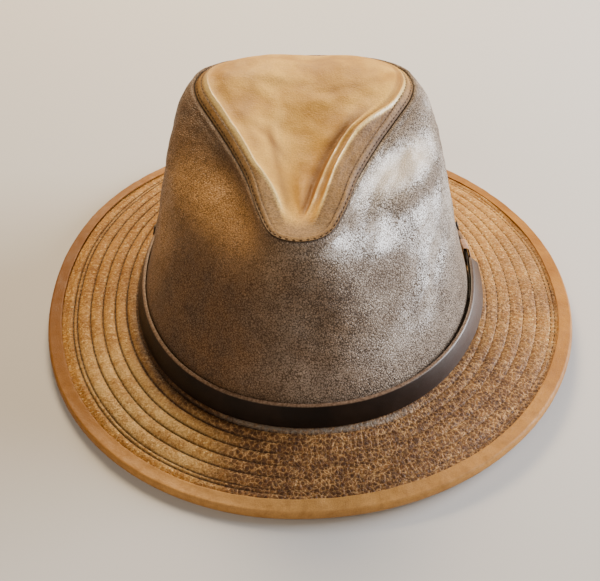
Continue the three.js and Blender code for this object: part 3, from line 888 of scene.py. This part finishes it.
side_steps = 640
side_uv_step = 1.1
side_uv_round = 600
edge_rise = 0.4
edge_sink = 0.25
edge_roll = 0.35
turn = turns_round(side_steps)[:, None]
rises = np.concatenate((np.linspace(0, 0.9, 74)[:-1], np.linspace(0.9, 1, 22)))
smooth_side = side_point(turn, rises[None, :])
inward_edge, across_edge = seam_frame(turn)
near_edge = ease(0.8, 1, rises)[None, :, None]
smooth_side = smooth_side - piece_gap / 2 * near_edge * across_edge
side_normal = normals_of(smooth_side)
steps = np.linalg.norm(np.diff(smooth_side, axis=1), axis=-1)
to_seam = np.concatenate((np.cumsum(steps[:, ::-1], axis=1)[:, ::-1], np.zeros((side_steps, 1))), 1)
swell = swelled(side_swells, turn, smooth_side[..., 2])
swell = swell + 0.35 * slow_noise(smooth_side, 17, 21) + 0.12 * slow_noise(smooth_side, 7, 22)
swell = swell * ease(0, 6, to_seam) * ease(0.12, 0.3, rises)[None, :]
raised_edge = edge_rise * bell(to_seam - 1.9, 1.4) - edge_sink * bell(to_seam - 4.6, 1.6)
edge_turn = -edge_roll * bell(to_seam, 0.5)
side_outer = smooth_side + (swell + raised_edge + edge_turn)[..., None] * side_normal
inner_rows = np.r_[0:len(rises) - 1:4, len(rises) - 1]
level_normal = side_normal * (1, 1, 0)
level_normal /= np.linalg.norm(level_normal, axis=-1, keepdims=True)
towards_level = 1 - ease(0, 0.2, rises)[None, :, None]
into = -(side_normal * (1 - towards_level) + level_normal * towards_level)
into = into * (1 - near_edge) + inward_edge * near_edge
into /= np.linalg.norm(into, axis=-1, keepdims=True)
side_inner = (smooth_side + swell[..., None] * side_normal + crown_wall * into)[:, inner_rows]
side_grid = np.concatenate((side_outer, side_inner[:, ::-1]), 1)
inside = np.concatenate((np.zeros(len(rises)), np.ones(len(inner_rows))))[None, :]

# The wall is painted dark and warm on the wearer's right as shade, with a golden patch and edge painted
# as warm light, and it is warm at the back. It is greyer on the wearer's left, with a cream reflection
# painted high up and a pale sheen painted low at the front. Painted shade lies along the seam, most on
# the wearer's right.
side_degrees = np.degrees(turn)
side_height = side_grid[..., 2]
# Painted shade on the wearer's right, and warm tone at the back.
grime = ease(160, 200, side_degrees) * ease(292, 230, side_degrees) + 0.2 * dark_patch(turn, 280, 14)
grime = np.clip(grime + 0.75 * dark_patch(turn, 100, 75), 0, 1)
# A golden patch and edge painted as warm light on the wearer's right, and warm tone at the back.
glow = dark_patch(turn, 224, 26) * bell(side_height - 90, 11)
glow = glow + 0.6 * dark_patch(turn, 198, 14) * bell(side_height - 64, 26)
glow = glow + 0.22 * dark_patch(turn, 95, 70)
polish = np.clip(0.12 + swelled(side_polish, turn, side_height), 0, 1)
# A pale sheen painted low on the wall at the front.
dust = dark_patch(turn, 274, 23) * bell(side_height - 36, 19)
# A cream reflection painted high on the wearer's left.
cream = dark_patch(turn, 326, 19) * bell(side_height - 97, 5.5)
# Painted shade in the seam's groove, and in the hollow below it on the wearer's right.
seam_dirt = 0.85 * bell(to_seam, 0.55)
seam_dirt = seam_dirt + 0.42 * dark_patch(turn, 213, 28) * bell(to_seam - 3, 8)
seam_dirt = np.concatenate((np.clip(seam_dirt, 0, 1), np.zeros((side_steps, len(inner_rows)))), 1)
side_length = np.arange(side_grid.shape[1] + 1) * side_uv_step
round_length = np.arange(side_steps + 1) * side_uv_round / side_steps
side_piece = grid_piece(
    "crown_side_wall", side_grid, lengths=(round_length, side_length), inside=inside,
    grime=grime * np.ones_like(side_height), glow=glow, seam_dirt=seam_dirt, polish=polish,
    dust=dust, cream=cream,
)

# Where polished, the leather is painted paler as sheen and has a soft shine, but not in the pores. The
# inside shows the leather's pale flesh side.
flesh_side = (0.2, 0.12, 0.065), (0.27, 0.17, 0.1)
deep_grey_brown = (0.19, 0.135, 0.093)
pale_grey_brown = (0.38, 0.295, 0.22)
polished_grey = (0.6, 0.49, 0.385)
pale_dust = (0.64, 0.49, 0.38)
deep_warm_brown = (0.095, 0.033, 0.004)
bright_warm_brown = (0.215, 0.082, 0.01)
golden_patch = (0.82, 0.38, 0.065)
pebble_top = (0.46, 0.29, 0.16)
cream_patch = (0.9, 0.68, 0.43)
pore_black = (0.014, 0.006, 0.003)
side_vein = (0.5, 0.36, 0.24)
side_fine_pore = (0.03, 0.014, 0.006)
side_seam_shade = (0.03, 0.013, 0.005)

side_leather, tree, shader, coords = new_finish("rubbed_brown_leather")
position = coords["Object"]
grime, glow, inside, seam_dirt = marks_of(tree, "grime", "glow", "inside", "seam_dirt")
polish, dust, cream = marks_of(tree, "polish", "dust", "cream")
pebbles = grained(position, 800.0, 0.0013)
fine = grained(position, 1500.0, 0.0005)
cloudy = noise(position, 24.0, 5.0, 0.62)
patchy = noise(position, 75.0, 4.0, 0.6)
worn = figured("ADD", grime, graded(cloudy, 0.25, 0.75, -0.2, 0.2))
worn = graded(worn, 0.1, 0.9)
polished = figured("ADD", polish, graded(patchy, 0.25, 0.75, -0.13, 0.13))
polished = graded(polished, 0.05, 0.95)
light = blend(graded(patchy, 0.3, 0.7), deep_grey_brown, pale_grey_brown)
# Polished parts are painted paler and greyer, as sheen.
light = blend(times(polished, 0.5), light, polished_grey)
# A pale sheen is painted low at the front.
light = blend(times(dust, 0.8), light, pale_dust)
# The warm dark brown is the wall painted in shade, laid on where the shade mask is high.
dark = blend(graded(patchy, 0.3, 0.7), deep_warm_brown, bright_warm_brown)
colour = blend(worn, light, dark)
# Painted warm light, and warm tone at the back.
colour = blend(glow, colour, golden_patch)
# Pebble tops are painted lighter as glints, least where polished.
tops = times(pebbles["Height"], graded(polished, 0.2, 0.8, 0.3, 0.0))
colour = blend(tops, colour, pebble_top)
# A cream reflection is painted high on the wearer's left.
colour = blend(times(cream, 0.9), colour, cream_patch)
porous = times(graded(cloudy, 0.35, 0.65, 0.85, 1.0), graded(worn, 0.0, 1.0, 1.0, 0.8))
porous = times(porous, graded(cream, 0.0, 1.0, 1.0, 0.5))
porous = times(porous, graded(polished, 0.6, 1.0, 1.0, 0.75))
pores = figured("MAXIMUM", pebbles["Creases"], times(pebbles["Pores"], 0.5))
pores = times(pores, porous)
colour = blend(pores, colour, pore_black)
colour = blend(times(pebbles["Veins"], 0.12), colour, side_vein)
colour = blend(times(fine["Pores"], 0.3), colour, side_fine_pore)
flesh = blend(graded(patchy, 0.3, 0.7), *flesh_side)
# Painted shade along the seam.
colour = blend(seam_dirt, colour, side_seam_shade)
colour = blend(inside, colour, flesh)
link(colour, shader.inputs["Base Color"])
smooth = graded(polished, 0.0, 1.0, 0.46, 0.3)
rough = graded(pores, 0.05, 0.7, smooth, 1.0)
rough = figured("ADD", rough, times(inside, 0.4))
link(rough, shader.inputs["Roughness"])
shine = times(graded(polished, 0.1, 1.0), graded(pores, 0.0, 0.8, 1.0, 0.0))
shine = times(shine, graded(cream, 0.0, 1.0, 1.0, 0.5))
link(shine, shader.inputs["Coat Weight"])
shader.inputs["Coat Roughness"].default_value = 0.34
shader.inputs["Coat IOR"].default_value = 1.75
shader.inputs["Specular IOR Level"].default_value = 0.6
bumped(shader, (pebbles["Height"], 0.15), (fine["Height"], 0.05), (patchy, 0.45))
dress(side_piece, side_leather, "crown_leather", "crown_side")


# Crown's tip
# The top panel, smooth golden brown leather, creased down its middle. A sharp ridge runs down each
# side of the crease to the front point. Its edge is sewn down in two rows with a puffed ribbon
# between them. The panel is a height over a fan of lines from its middle to the seam.

# The tip at a place along its middle: the ridge's height, the crease's depth and half its width.
tip = listed(
    "y ridge valley width",
    (-80, 0.5, 0, 7), (-64, 3, 4.5, 8), (-46, 6, 11, 10), (-22, 7.5, 14, 15),
    (0, 7.5, 11.5, 21), (22, 8, 7, 27), (48, 11, 4.5, 27), (90, 13, 3.5, 27),
)
seam_rows = [1.0, 3.5]
ribbon_height = 0.7
seam_groove = 0.35
crest_height = 2.0
crest_width = 1.2
second_crest_height = 1.9
second_crest_off = 5.9
second_crest_width = 1.4


def tip_point(turn, reach):
    """Outside of the tip: between the seam's height and the same beside it, plus the ridge and a
    dome at the back, which come down at the seam, less a bell-shaped valley."""
    turn, reach = np.broadcast_arrays(turn, reach)
    edge = seam_point(turn)
    y = tip_middle + (edge[..., 1] - tip_middle) * reach
    middle = tip_shift + tip_skew * y
    x = middle + (edge[..., 0] - tip_shift - tip_skew * edge[..., 1]) * reach
    level = edge[..., 2] * reach + read(seam, "y", "z", y) * (1 - reach)
    fullness = 6 - 1.8 * ease(10, 70, y)
    dome = 2.6 * bell(x + 2, 26) + 2.2 * bell(x + 19, 16)
    dome = (dome + 0.9 * bell(x - 23, 12)) * bell(y - 70, 24)
    ridge = (read(tip, "y", "ridge", y) + dome) * (1 - reach ** fullness)
    across = (x - middle) / read(tip, "y", "width", y)
    valley = read(tip, "y", "valley", y) * np.exp(-across ** 2) * (1 - reach ** 8)
    return np.stack((x, y, level + ridge - valley), -1)


seam_outline = seam_point(turns_round(720))[:, :2]


def seam_distance(points):
    """Level distance from points to the seam line."""
    nearest = []
    for part in np.array_split(points[..., :2].reshape(-1, 2), 40):
        away = part[:, None] - seam_outline[None]
        nearest.append(np.sqrt((away ** 2).sum(-1).min(1)))
    return np.concatenate(nearest).reshape(points.shape[:-1])


# Shallow dents and swells of the tip: place, size both ways, and height.
tip_swells = listed(
    "x y wide long out",
    (-32, 50, 20, 5, -0.8), (4, 62, 24, 5, -1.1), (20, 46, 16, 7, 0.7), (-12, 38, 14, 6, 0.6),
    (-10, 2, 6, 8, -0.9), (8, 8, 6, 10, 0.7), (-30, 20, 6, 14, -0.9), (30, 22, 6, 12, -0.7),
    (-22, 6, 4, 9, -0.7), (-6, 24, 9, 4, -0.5), (14, 27, 9, 4, -0.6), (-1, -14, 4, 12, 0.5),
)
# Painted shade in the tip's shallow folds, written the same way.
tip_smudges = listed(
    "x y wide long out",
    (-14, 35, 16, 3.5, 0.4), (6, 60, 20, 4, 0.38), (-34, 46, 9, 9, 0.34), (20, 30, 12, 3.5, 0.3),
    (-30, 14, 3.5, 14, 0.36),
)


def spotted(table, x, y):
    """Sum of a table's rows, each a bell in both directions."""
    bells = [bell(x - row["x"], row["wide"]) * bell(y - row["y"], row["long"]) for row in table]
    return sum(row["out"] * spot for row, spot in zip(table, bells))


def crest_from_seam(points):
    """How far the ridge's crest lies from the seam: further at the wearer's left and the front."""
    left = 4.4 + 7.0 * ease(21, -14, points[..., 1])
    right = 5.8 + 5.0 * ease(-26, -54, points[..., 1])
    return right + (left - right) * ease(-4, 4, points[..., 0] - tip_shift)


def tip_relief(points, from_seam):
    """Ribbon and grooves along the seam, ridge crests as pointed bells, and the shallow dents."""
    x, y = points[..., 0] - tip_shift, points[..., 1]
    part = np.clip((from_seam - seam_rows[0]) / (seam_rows[1] - seam_rows[0]), 0, 1)
    ribbon = ribbon_height * (4 * part * (1 - part)) ** 0.6
    grooves = sum(seam_groove * bell(from_seam - row, 0.55) for row in seam_rows)
    run = ease(80, 40, y) * ease(-74, -46, y)
    off = from_seam - crest_from_seam(points)
    left = ease(-4, 4, x)
    crest = crest_height * run * np.exp(-np.sqrt(off ** 2 + 0.25 ** 2) / crest_width)
    crest = crest + 1.3 * run * left * bell(off + 2.4, 3.2) * ease(5, 8, from_seam)
    crest = crest - 1.0 * run * (1 - left) * bell(off - 5.0, 3.2)
    second_run = left * ease(-70, -48, y) * ease(10, -8, y)
    crest = crest - 0.9 * run * left * bell(off - 2.9, 1.5)
    pointed = np.exp(-np.sqrt((off - second_crest_off) ** 2 + 0.3 ** 2) / second_crest_width)
    crest = crest + second_crest_height * second_run * (pointed - bell(off - 9.6, 2.4))
    uneven = 0.16 * slow_noise(points, 12, 31) + 0.22 * slow_noise(points, 26, 32)
    return ribbon - grooves + crest + (spotted(tip_swells, x, y) + uneven) * ease(5, 9, from_seam)


def tip_face(turn, reach):
    """Outside of the tip with its relief."""
    smooth = tip_point(turn, reach)
    turn, reach = np.broadcast_arrays(turn, reach)
    across_edge = seam_frame(turn)[1]
    smooth = smooth + piece_gap / 2 * ease(0.8, 1, reach)[..., None] * across_edge
    from_seam = seam_distance(smooth)
    relief = tip_relief(smooth, from_seam)
    near_edge = ease(0.5, 1, reach)[..., None]
    up = across_edge * near_edge + np.array((0, 0, 1.0)) * (1 - near_edge)
    up /= np.linalg.norm(up, axis=-1, keepdims=True)
    return smooth + relief[..., None] * up


def merge_doubles(piece, distance=1e-6):
    """Makes points that lie on each other one, at a fan's middle."""
    mesh = bmesh.new()
    mesh.from_mesh(piece.data)
    bmesh.ops.remove_doubles(mesh, verts=mesh.verts, dist=distance)
    mesh.to_mesh(piece.data)
    mesh.free()


tip_steps = 600
turn = turns_round(tip_steps)[:, None]
reaches = 1 - np.linspace(1, 0, 92) ** 1.15
tip_outer = tip_face(turn, reaches[None, :])
smooth_tip = tip_point(turn, reaches[None, :])
inner_rows = np.r_[0:len(reaches) - 1:5, len(reaches) - 1]
inward_edge, across_edge = seam_frame(turn)
near_edge = ease(0.8, 1, reaches)[None, :, None]
into = -normals_of(smooth_tip)
into[:, 0] = (0, 0, -1)
into = np.where(into[..., 2:] > 0, -into, into)
into = into * (1 - near_edge) + inward_edge * near_edge
into /= np.linalg.norm(into, axis=-1, keepdims=True)
tip_inner = (smooth_tip + piece_gap / 2 * near_edge * across_edge + crown_wall * into)[:, inner_rows]
tip_grid = np.concatenate((tip_inner, tip_outer[:, ::-1]), 1)
inside = np.concatenate((np.ones(len(inner_rows)), np.zeros(len(reaches))))[None, :]

# The ridge's crest is painted light as a highlight, and shines. The edge outside it is dark with wear,
# most at the front and on the wearer's left, and least at the back.
tip_x, tip_y = tip_grid[..., 0] - tip_shift, tip_grid[..., 1]
tip_from_seam = seam_distance(tip_grid)
towards_back = ease(10, 70, tip_y)
off = tip_from_seam - crest_from_seam(tip_grid)
left = ease(-4, 4, tip_x)
forward = ease(-66, -50, tip_y)
second_run = left * forward * ease(6, -8, tip_y)
rubbed = bell(off, 1.1 - 0.5 * left) * (1 - towards_back) * forward
rubbed = rubbed + second_run * bell(off - second_crest_off, 0.7) * (0.5 + 0.5 * ease(-8, -20, tip_y))
worn_edge = ease(0.1, -1.6, off) * (1 - 0.6 * towards_back)
worn_edge = worn_edge * (0.82 + 0.1 * ease(-5, 10, tip_grid[..., 0]))
worn_edge = np.maximum(worn_edge, 0.85 * ease(-58, -74, tip_y))
# Painted shade along the seam and in the grooves of its two stitch rows.
seam_dirt = 0.85 * bell(tip_from_seam, 0.45)
for row in seam_rows:
    seam_dirt = seam_dirt + 0.7 * bell(tip_from_seam - row, 0.4)
# Painted shade lies in the steep walls of the crease, most at the wearer's left.
crease_shade = ease(6.2, 7.6, off) * ease(20, 11, off) * ease(22, -2, tip_y)
crease_shade = crease_shade + 0.6 * ease(0.6, 2.0, off) * ease(5.4, 3.8, off)
crease_shade = crease_shade * forward * ease(-5, 0, tip_x)
from_middle = tip_x + 3 + 0.16 * (tip_y + 60)
right_wall = bell(from_middle + 4.5, 2.6) * ease(-64, -50, tip_y) * ease(12, -4, tip_y)
crease_shade = crease_shade + 0.6 * right_wall * (1 - left)
# Besides the folds, a line of painted shade slants from the wearer's right crest down to the crease.
slant_x, slant_y = 0.675, -0.736
start_x, start_y = tip_x + 30, tip_y - 8
slant_along = slant_x * start_x + slant_y * start_y
slant_off = slant_x * start_y - slant_y * start_x
slant = bell(slant_off, 3) * ease(0, 9, slant_along) * ease(36, 24, slant_along)
crease_shade = crease_shade + spotted(tip_smudges, tip_x, tip_y) + 0.42 * slant
tip_piece = grid_piece(
    "crown_tip_panel", tip_grid, wrap_columns=False, inside=inside, rubbed=rubbed, grime=worn_edge,
    seam_dirt=np.clip(seam_dirt, 0, 1), shade=crease_shade,
)
merge_doubles(tip_piece)

deep_honey = (0.47, 0.22, 0.028)
bright_honey = (0.84, 0.48, 0.09)
honey_patch = (0.82, 0.47, 0.1)
worn_edge_dark = (0.11, 0.052, 0.02)
worn_edge_pale = (0.25, 0.14, 0.07)
handled_shade = (0.2, 0.078, 0.012)
rubbed_crest = (1.0, 0.76, 0.32)
honey_pore = (0.07, 0.03, 0.01)
honey_fine_pore = (0.1, 0.045, 0.015)
tip_seam_shade = (0.045, 0.018, 0.006)

tip_leather, tree, shader, coords = new_finish("smooth_golden_leather")
position = coords["Object"]
inside, rubbed, grime = marks_of(tree, "inside", "rubbed", "grime")
seam_dirt, shade = marks_of(tree, "seam_dirt", "shade")
pebbles = grained(position, 700.0, 0.0012)
fine = grained(position, 1300.0, 0.0005)
cloudy = noise(position, 22.0, 5.0, 0.6)
patchy = noise(position, 85.0, 4.0, 0.6)
colour = blend(graded(cloudy, 0.32, 0.68), deep_honey, bright_honey)
colour = blend(graded(patchy, 0.35, 0.75, 0.0, 0.4), colour, honey_patch)
dark = blend(graded(patchy, 0.3, 0.7), worn_edge_dark, worn_edge_pale)
colour = blend(times(grime, graded(cloudy, 0.3, 0.6, 0.6, 1.0)), colour, dark)
# Painted shade in the crease and its folds.
colour = blend(times(shade, 0.88), colour, handled_shade)
# The crest's painted highlight.
colour = blend(times(rubbed, 0.95), colour, rubbed_crest)
faint = figured("ADD", graded(cloudy, 0.45, 0.75, 0.08, 0.35), times(grime, 0.55))
colour = blend(times(pebbles["Pores"], faint), colour, honey_pore)
colour = blend(times(fine["Pores"], 0.15), colour, honey_fine_pore)
flesh = blend(graded(patchy, 0.3, 0.7), *flesh_side)
# Painted shade along the seam.
colour = blend(seam_dirt, colour, tip_seam_shade)
colour = blend(inside, colour, flesh)
link(colour, shader.inputs["Base Color"])
rough = figured("ADD", graded(patchy, 0.3, 0.7, 0.54, 0.66), times(inside, 0.4))
rough = figured("SUBTRACT", rough, times(rubbed, 0.34))
link(rough, shader.inputs["Roughness"])
link(graded(rubbed, 0.0, 1.0), shader.inputs["Coat Weight"])
shader.inputs["Coat Roughness"].default_value = 0.22
shader.inputs["Coat IOR"].default_value = 1.6
shader.inputs["Specular IOR Level"].default_value = 0.3
bumped(shader, (pebbles["Height"], 0.07), (fine["Height"], 0.04), (patchy, 0.4), (cloudy, 1.2))
dress(tip_piece, tip_leather, "tip_leather", "crown_tip")


# Seam stitches
# Two rows of dark thread along the tip's edge, 1 mm and 3.5 mm in from the seam. Each stitch is a
# short bent piece, sunk into its groove as on the brim.

seam_pitch = 3.2
seam_sunk = 0.12


def seam_row(from_seam):
    """Points and normals of the line on the tip that lies at a distance from the seam."""
    turn = turns_round(720)[:, None]
    reach = np.linspace(0.55, 1, 160)[None, :]
    distance = seam_distance(tip_point(turn, reach))
    found = np.argmax(distance < from_seam, axis=1)
    rows = np.arange(len(found))
    before, after = distance[rows, found - 1], distance[rows, found]
    share = (before - from_seam) / np.maximum(before - after, 1e-9)
    at = (reach[0, found - 1] + share * (reach[0, found] - reach[0, found - 1]))[:, None]
    strip = tip_face(turn, at + np.array([[-0.004, 0, 0.004]]))
    return strip[:, 1], -normals_of(strip)[:, 1]


seam_lines = [seam_row(row) for row in seam_rows]
seam_threads = stitches("seam_stitches", seam_lines, pitch=seam_pitch, sunk=seam_sunk)
dress(seam_threads, thread_finish, "tip_leather")


# Strap
# A very dark brown leather strap once round the crown's foot, leaning with the wall. Its round end
# lies over its start, which is pared thin, at the wearer's left. Its cut edges are rounded and
# lighter.

strap_height = 11.5
strap_thickness = 2.0
strap_lean = math.radians(16.5)
strap_off = 0.5
strap_end = 4
strap_lap = 24
lap_fade = 42
lap_ahead = 3
pared = 0.5
start_lower = 1.8
round_end = 9
end_bluntness = 0.96
edge_round = 0.55
edge_steps = 5
face_crown = 0.18
foot_turned_up = 2.6
strap_uv_step = 1.05
keeper_turn = 9
keeper_width = 9
keeper_wall = 0.8
keeper_fade = 16


def keeper_room(degrees):
    """Room under and behind the strap for the keeper's wall: a bell round its place."""
    off = (degrees + 180) % 360 - 180 - keeper_turn
    return (keeper_wall + piece_gap) * bell(off, keeper_fade)


def strap_away(degrees):
    """How far the strap's inner face stands off the foot: more at the keeper and over its start."""
    out = 360 + strap_end - strap_lap - lap_ahead
    over_start = strap_thickness * (1 - pared) + piece_gap
    return strap_off + keeper_room(degrees) + over_start * ease(out - lap_fade, out, degrees)


def under_end(degrees):
    """How far a place on the strap lies in its start, under the end, where it is pared thin."""
    return ease(11, 5, degrees)


def strap_point(turn, away, up):
    """Point away from the foot and up along the leaning strap."""
    point = brim_point(turn, away, brim_thickness / 2 + piece_gap)
    outward = outward_at(np.broadcast_arrays(turn, away, up)[0])[0]
    inward = (up * math.sin(strap_lean))[..., None]
    return point - inward * outward + (up * math.cos(strap_lean))[..., None] * (0, 0, 1.0)


def round_box(width, height, radius, corner_steps):
    """Outline of a box with round corners, about its middle, against the clock."""
    corner = np.radians(np.linspace(0, 90, corner_steps))
    x, y = [], []
    for quarter in range(4):
        angle = corner + quarter * np.pi / 2
        centre_x = (width / 2 - radius) * (1 if quarter in (0, 3) else -1)
        centre_y = (height / 2 - radius) * (1 if quarter in (0, 1) else -1)
        x.append(centre_x + radius * np.cos(angle))
        y.append(centre_y + radius * np.sin(angle))
    return np.concatenate(x), np.concatenate(y)


strap_start = strap_end - strap_lap
round_degrees = math.degrees(round_end / foot["half_width"])
straight_end = strap_end + 360 - round_degrees
end_shares = np.sin(np.linspace(0, np.pi / 2, 15))[1:]
straight = np.linspace(strap_start, straight_end, 620)
degrees = np.concatenate((straight, straight_end + round_degrees * end_shares))
cut = np.zeros(len(degrees))
cut[-len(end_shares):] = strap_height / 2 * (1 - np.sqrt(1 - (end_bluntness * end_shares) ** 2))
across, along_height = round_box(strap_thickness, strap_height, edge_round, edge_steps)
across, along_height = np.roll(across, edge_steps), np.roll(along_height, edge_steps)
crowned = face_crown * (1 - (2 * along_height / strap_height) ** 2) * (across > 0)

# Everything round the hat is a row of the grid, and everything over the section a column.
degrees_wide, cut_wide = degrees[:, None], cut[:, None]
under = under_end(degrees_wide)
up_share = (along_height / strap_height + 0.5)[None, :]
height_share = up_share * (strap_height - 2 * cut_wide - start_lower * under)
# The strap's foot stands off the crown towards its end, and its face turns up there.
turned_up = foot_turned_up * ease(318, 352, degrees_wide) * (1 - up_share)
way_round = np.stack((np.cos(np.radians(degrees)), np.sin(np.radians(degrees)), degrees / 90), -1)
sway = 0.15 * slow_noise(way_round * 90, 50, 41)
from_inner_face = (strap_thickness / 2 + across + crowned)[None, :] * (1 - pared * under)
away = strap_away(degrees_wide) + from_inner_face + turned_up
strap_turn = np.radians(degrees_wide)
strap_grid = strap_point(strap_turn, away, keeper_room(degrees_wide) + cut_wide + height_share)
strap_grid[..., 2] += np.abs(sway)[:, None]
cut_band = 0.35
edge_mark = np.clip((np.abs(along_height) - strap_height / 2 + cut_band) / cut_band, 0, 1)[None, :]
edge_mark = edge_mark * (1 - under) * (1 - 0.7 * dark_patch(strap_turn, 350, 22))
# The end that is pulled through the keeper shines, and is painted paler there as sheen.
rubbed = dark_patch(strap_turn, 335, 34) * (1 - under) * np.ones(len(along_height))
round_length = np.arange(len(degrees) + 1) * strap_uv_step
section_length = np.append(along_height, along_height[0])
strap_piece = grid_piece(
    "crown_strap", strap_grid, wrap_rows=False, caps=True, lengths=(round_length, section_length),
    cut_edge=edge_mark, rubbed=rubbed,
)

strap_dark = (0.006, 0.003, 0.0015)
strap_brown = (0.018, 0.009, 0.005)
strap_rubbed = (0.036, 0.021, 0.017)
cut_dark = (0.12, 0.066, 0.038)
cut_pale = (0.28, 0.175, 0.11)

strap_leather, tree, shader, coords = new_finish("dark_strap_leather")
position = coords["Object"]
cut_edge, rubbed = marks_of(tree, "cut_edge", "rubbed")
cloudy = noise(position, 45.0, 4.0)
fine = grained(position, 1300.0, 0.0004)
fibres = noise(position, 900.0, 3.0)
colour = blend(graded(cloudy, 0.3, 0.7), strap_dark, strap_brown)
# The painted sheen of the end.
colour = blend(rubbed, colour, strap_rubbed)
raw = blend(graded(fibres, 0.3, 0.7), cut_dark, cut_pale)
colour = blend(cut_edge, colour, raw)
link(colour, shader.inputs["Base Color"])
link(graded(cloudy, 0.3, 0.7, 0.34, 0.46), shader.inputs["Roughness"])
link(graded(rubbed, 0.0, 1.0), shader.inputs["Coat Weight"])
shader.inputs["Coat Roughness"].default_value = 0.38
shader.inputs["Coat IOR"].default_value = 1.42
shader.inputs["Specular IOR Level"].default_value = 0.16
bumped(shader, (fine["Height"], 0.04), (cloudy, 0.4))
dress(strap_piece, strap_leather, "strap_leather", "band_strap")


# Keeper
# A narrow loop of thin tan leather round the strap, just behind its end, which it holds down. Its
# band is carried round a box with round corners.

loop_corner = 1.2
band_edge = 0.4
half_turn = math.degrees(keeper_width / 2 / foot["half_width"])
strap_middle = strap_away(keeper_turn) + strap_thickness / 2
loop_room = 2 * piece_gap + keeper_wall
loop = np.stack(round_box(strap_thickness + loop_room, strap_height + loop_room, loop_corner, 6), -1)
band_out, band_along = round_box(keeper_wall, 1.0, band_edge, 4)
ahead = np.roll(loop, -1, axis=0) - np.roll(loop, 1, axis=0)
ahead /= np.linalg.norm(ahead, axis=-1, keepdims=True)
out = np.stack((ahead[:, 1], -ahead[:, 0]), -1)
loop_wide = loop[:, None] + band_out[None, :, None] * out[:, None]
keeper_degrees = keeper_turn + band_along[None, :] * 2 * half_turn * np.ones((len(loop), 1))
keeper_grid = strap_point(
    np.radians(keeper_degrees), strap_middle + loop_wide[..., 0],
    keeper_room(keeper_turn) + strap_height / 2 + loop_wide[..., 1],
)
keeper_piece = grid_piece("strap_keeper", keeper_grid[:, ::-1])

keeper_brown = (0.22, 0.105, 0.055)
keeper_tan = (0.38, 0.21, 0.125)

keeper_leather, tree, shader, coords = new_finish("tan_keeper_leather")
small = noise(coords["Object"], 400.0, 4.0)
colour = blend(graded(small, 0.3, 0.7), keeper_brown, keeper_tan)
link(colour, shader.inputs["Base Color"])
shader.inputs["Roughness"].default_value = 0.6
bumped(shader, (small, 0.12))
dress(keeper_piece, keeper_leather, "keeper_leather", "band_keeper")


# Eyelets
# A small dark metal eyelet in each side of the crown, its rim rolled over the leather inside and
# out. Its outline is turned round the hole's axis, and the hole is cut through the wall.

eyelet_turn = 2
eyelet_height = 46
eyelet_flange = 3.0
eyelet_barrel = 2.0
eyelet_bore = 1.4
rim_outside = 0.75
rim_inside = 0.6
drill_length = 12


def eyelet_frame(turn):
    """Middle of the eyelet on the wall's outside, and the wall's normal there."""
    rise = np.linspace(0.1, 0.6, 501)
    heights = side_point(turn, rise)[..., 2]
    at = np.interp(eyelet_height, heights, rise)
    near = side_point(turn + np.array([[-0.01], [0], [0.01]]), at + np.array([[-0.005, 0, 0.005]]))
    return near[1, 1], normals_of(near, wrap=False)[1, 1]


def turned(profile, middle, axis, steps):
    """A closed outline of radius and height, turned round an axis."""
    first = np.cross(axis, (0, 0, 1.0))
    first /= np.linalg.norm(first)
    second = np.cross(axis, first)
    angle = turns_round(steps)[:, None, None]
    ring = np.cos(angle) * first + np.sin(angle) * second
    return middle + profile[None, :, :1] * ring + profile[None, :, 1:] * axis


outside = piece_gap + 0.05
within = -crown_wall - piece_gap
rim = np.radians(np.linspace(0, 180, 9))
rim_middle = (eyelet_flange + eyelet_bore) / 2
rim_half = (eyelet_flange - eyelet_bore) / 2
profile = np.concatenate((
    [(eyelet_barrel, within), (eyelet_barrel, outside)],
    np.stack((rim_middle + rim_half * np.cos(rim), outside + rim_outside * np.sin(rim)), -1),
    np.stack((rim_middle - rim_half * np.cos(rim), within - rim_inside * np.sin(rim)), -1),
))
hole_radius = eyelet_barrel + piece_gap
metal_dark = (0.03, 0.024, 0.02)
metal_worn = (0.12, 0.085, 0.05)

eyelet_metal, tree, shader, coords = new_finish("dark_eyelet_metal")
small = noise(coords["Object"], 700.0, 3.0)
colour = blend(graded(small, 0.35, 0.7), metal_dark, metal_worn)
link(colour, shader.inputs["Base Color"])
link(graded(small, 0.3, 0.7, 0.3, 0.5), shader.inputs["Roughness"])
shader.inputs["Metallic"].default_value = 0.9
bumped(shader, (small, 0.03))
eyelet_angle = math.radians(eyelet_turn)
for name, angle in (("left", eyelet_angle), ("right", math.pi - eyelet_angle)):
    middle, axis = eyelet_frame(angle)
    eyelet = grid_piece("vent_ring_" + name, turned(profile, middle, axis, 40))
    dress(eyelet, eyelet_metal, "eyelet_metal", "vent_eyelet_" + name)
    bpy.ops.mesh.primitive_cylinder_add(
        vertices=32, radius=hole_radius * millimetre, depth=drill_length * millimetre
    )
    drill = bpy.context.object
    turned_drill = Vector(axis).to_track_quat("Z", "Y").to_matrix().to_4x4()
    drill.data.transform(Matrix.Translation(Vector(middle * millimetre)) @ turned_drill)
    hole = side_piece.modifiers.new("hole_" + name, "BOOLEAN")
    hole.object = drill
    hole.operation = "DIFFERENCE"
    hole.solver = "EXACT"
    bpy.context.view_layer.update()
    cut_side = side_piece.evaluated_get(bpy.context.evaluated_depsgraph_get())
    cut_wall = bpy.data.meshes.new_from_object(cut_side)
    side_piece.modifiers.clear()
    side_piece.data = cut_wall
    bpy.data.objects.remove(drill)
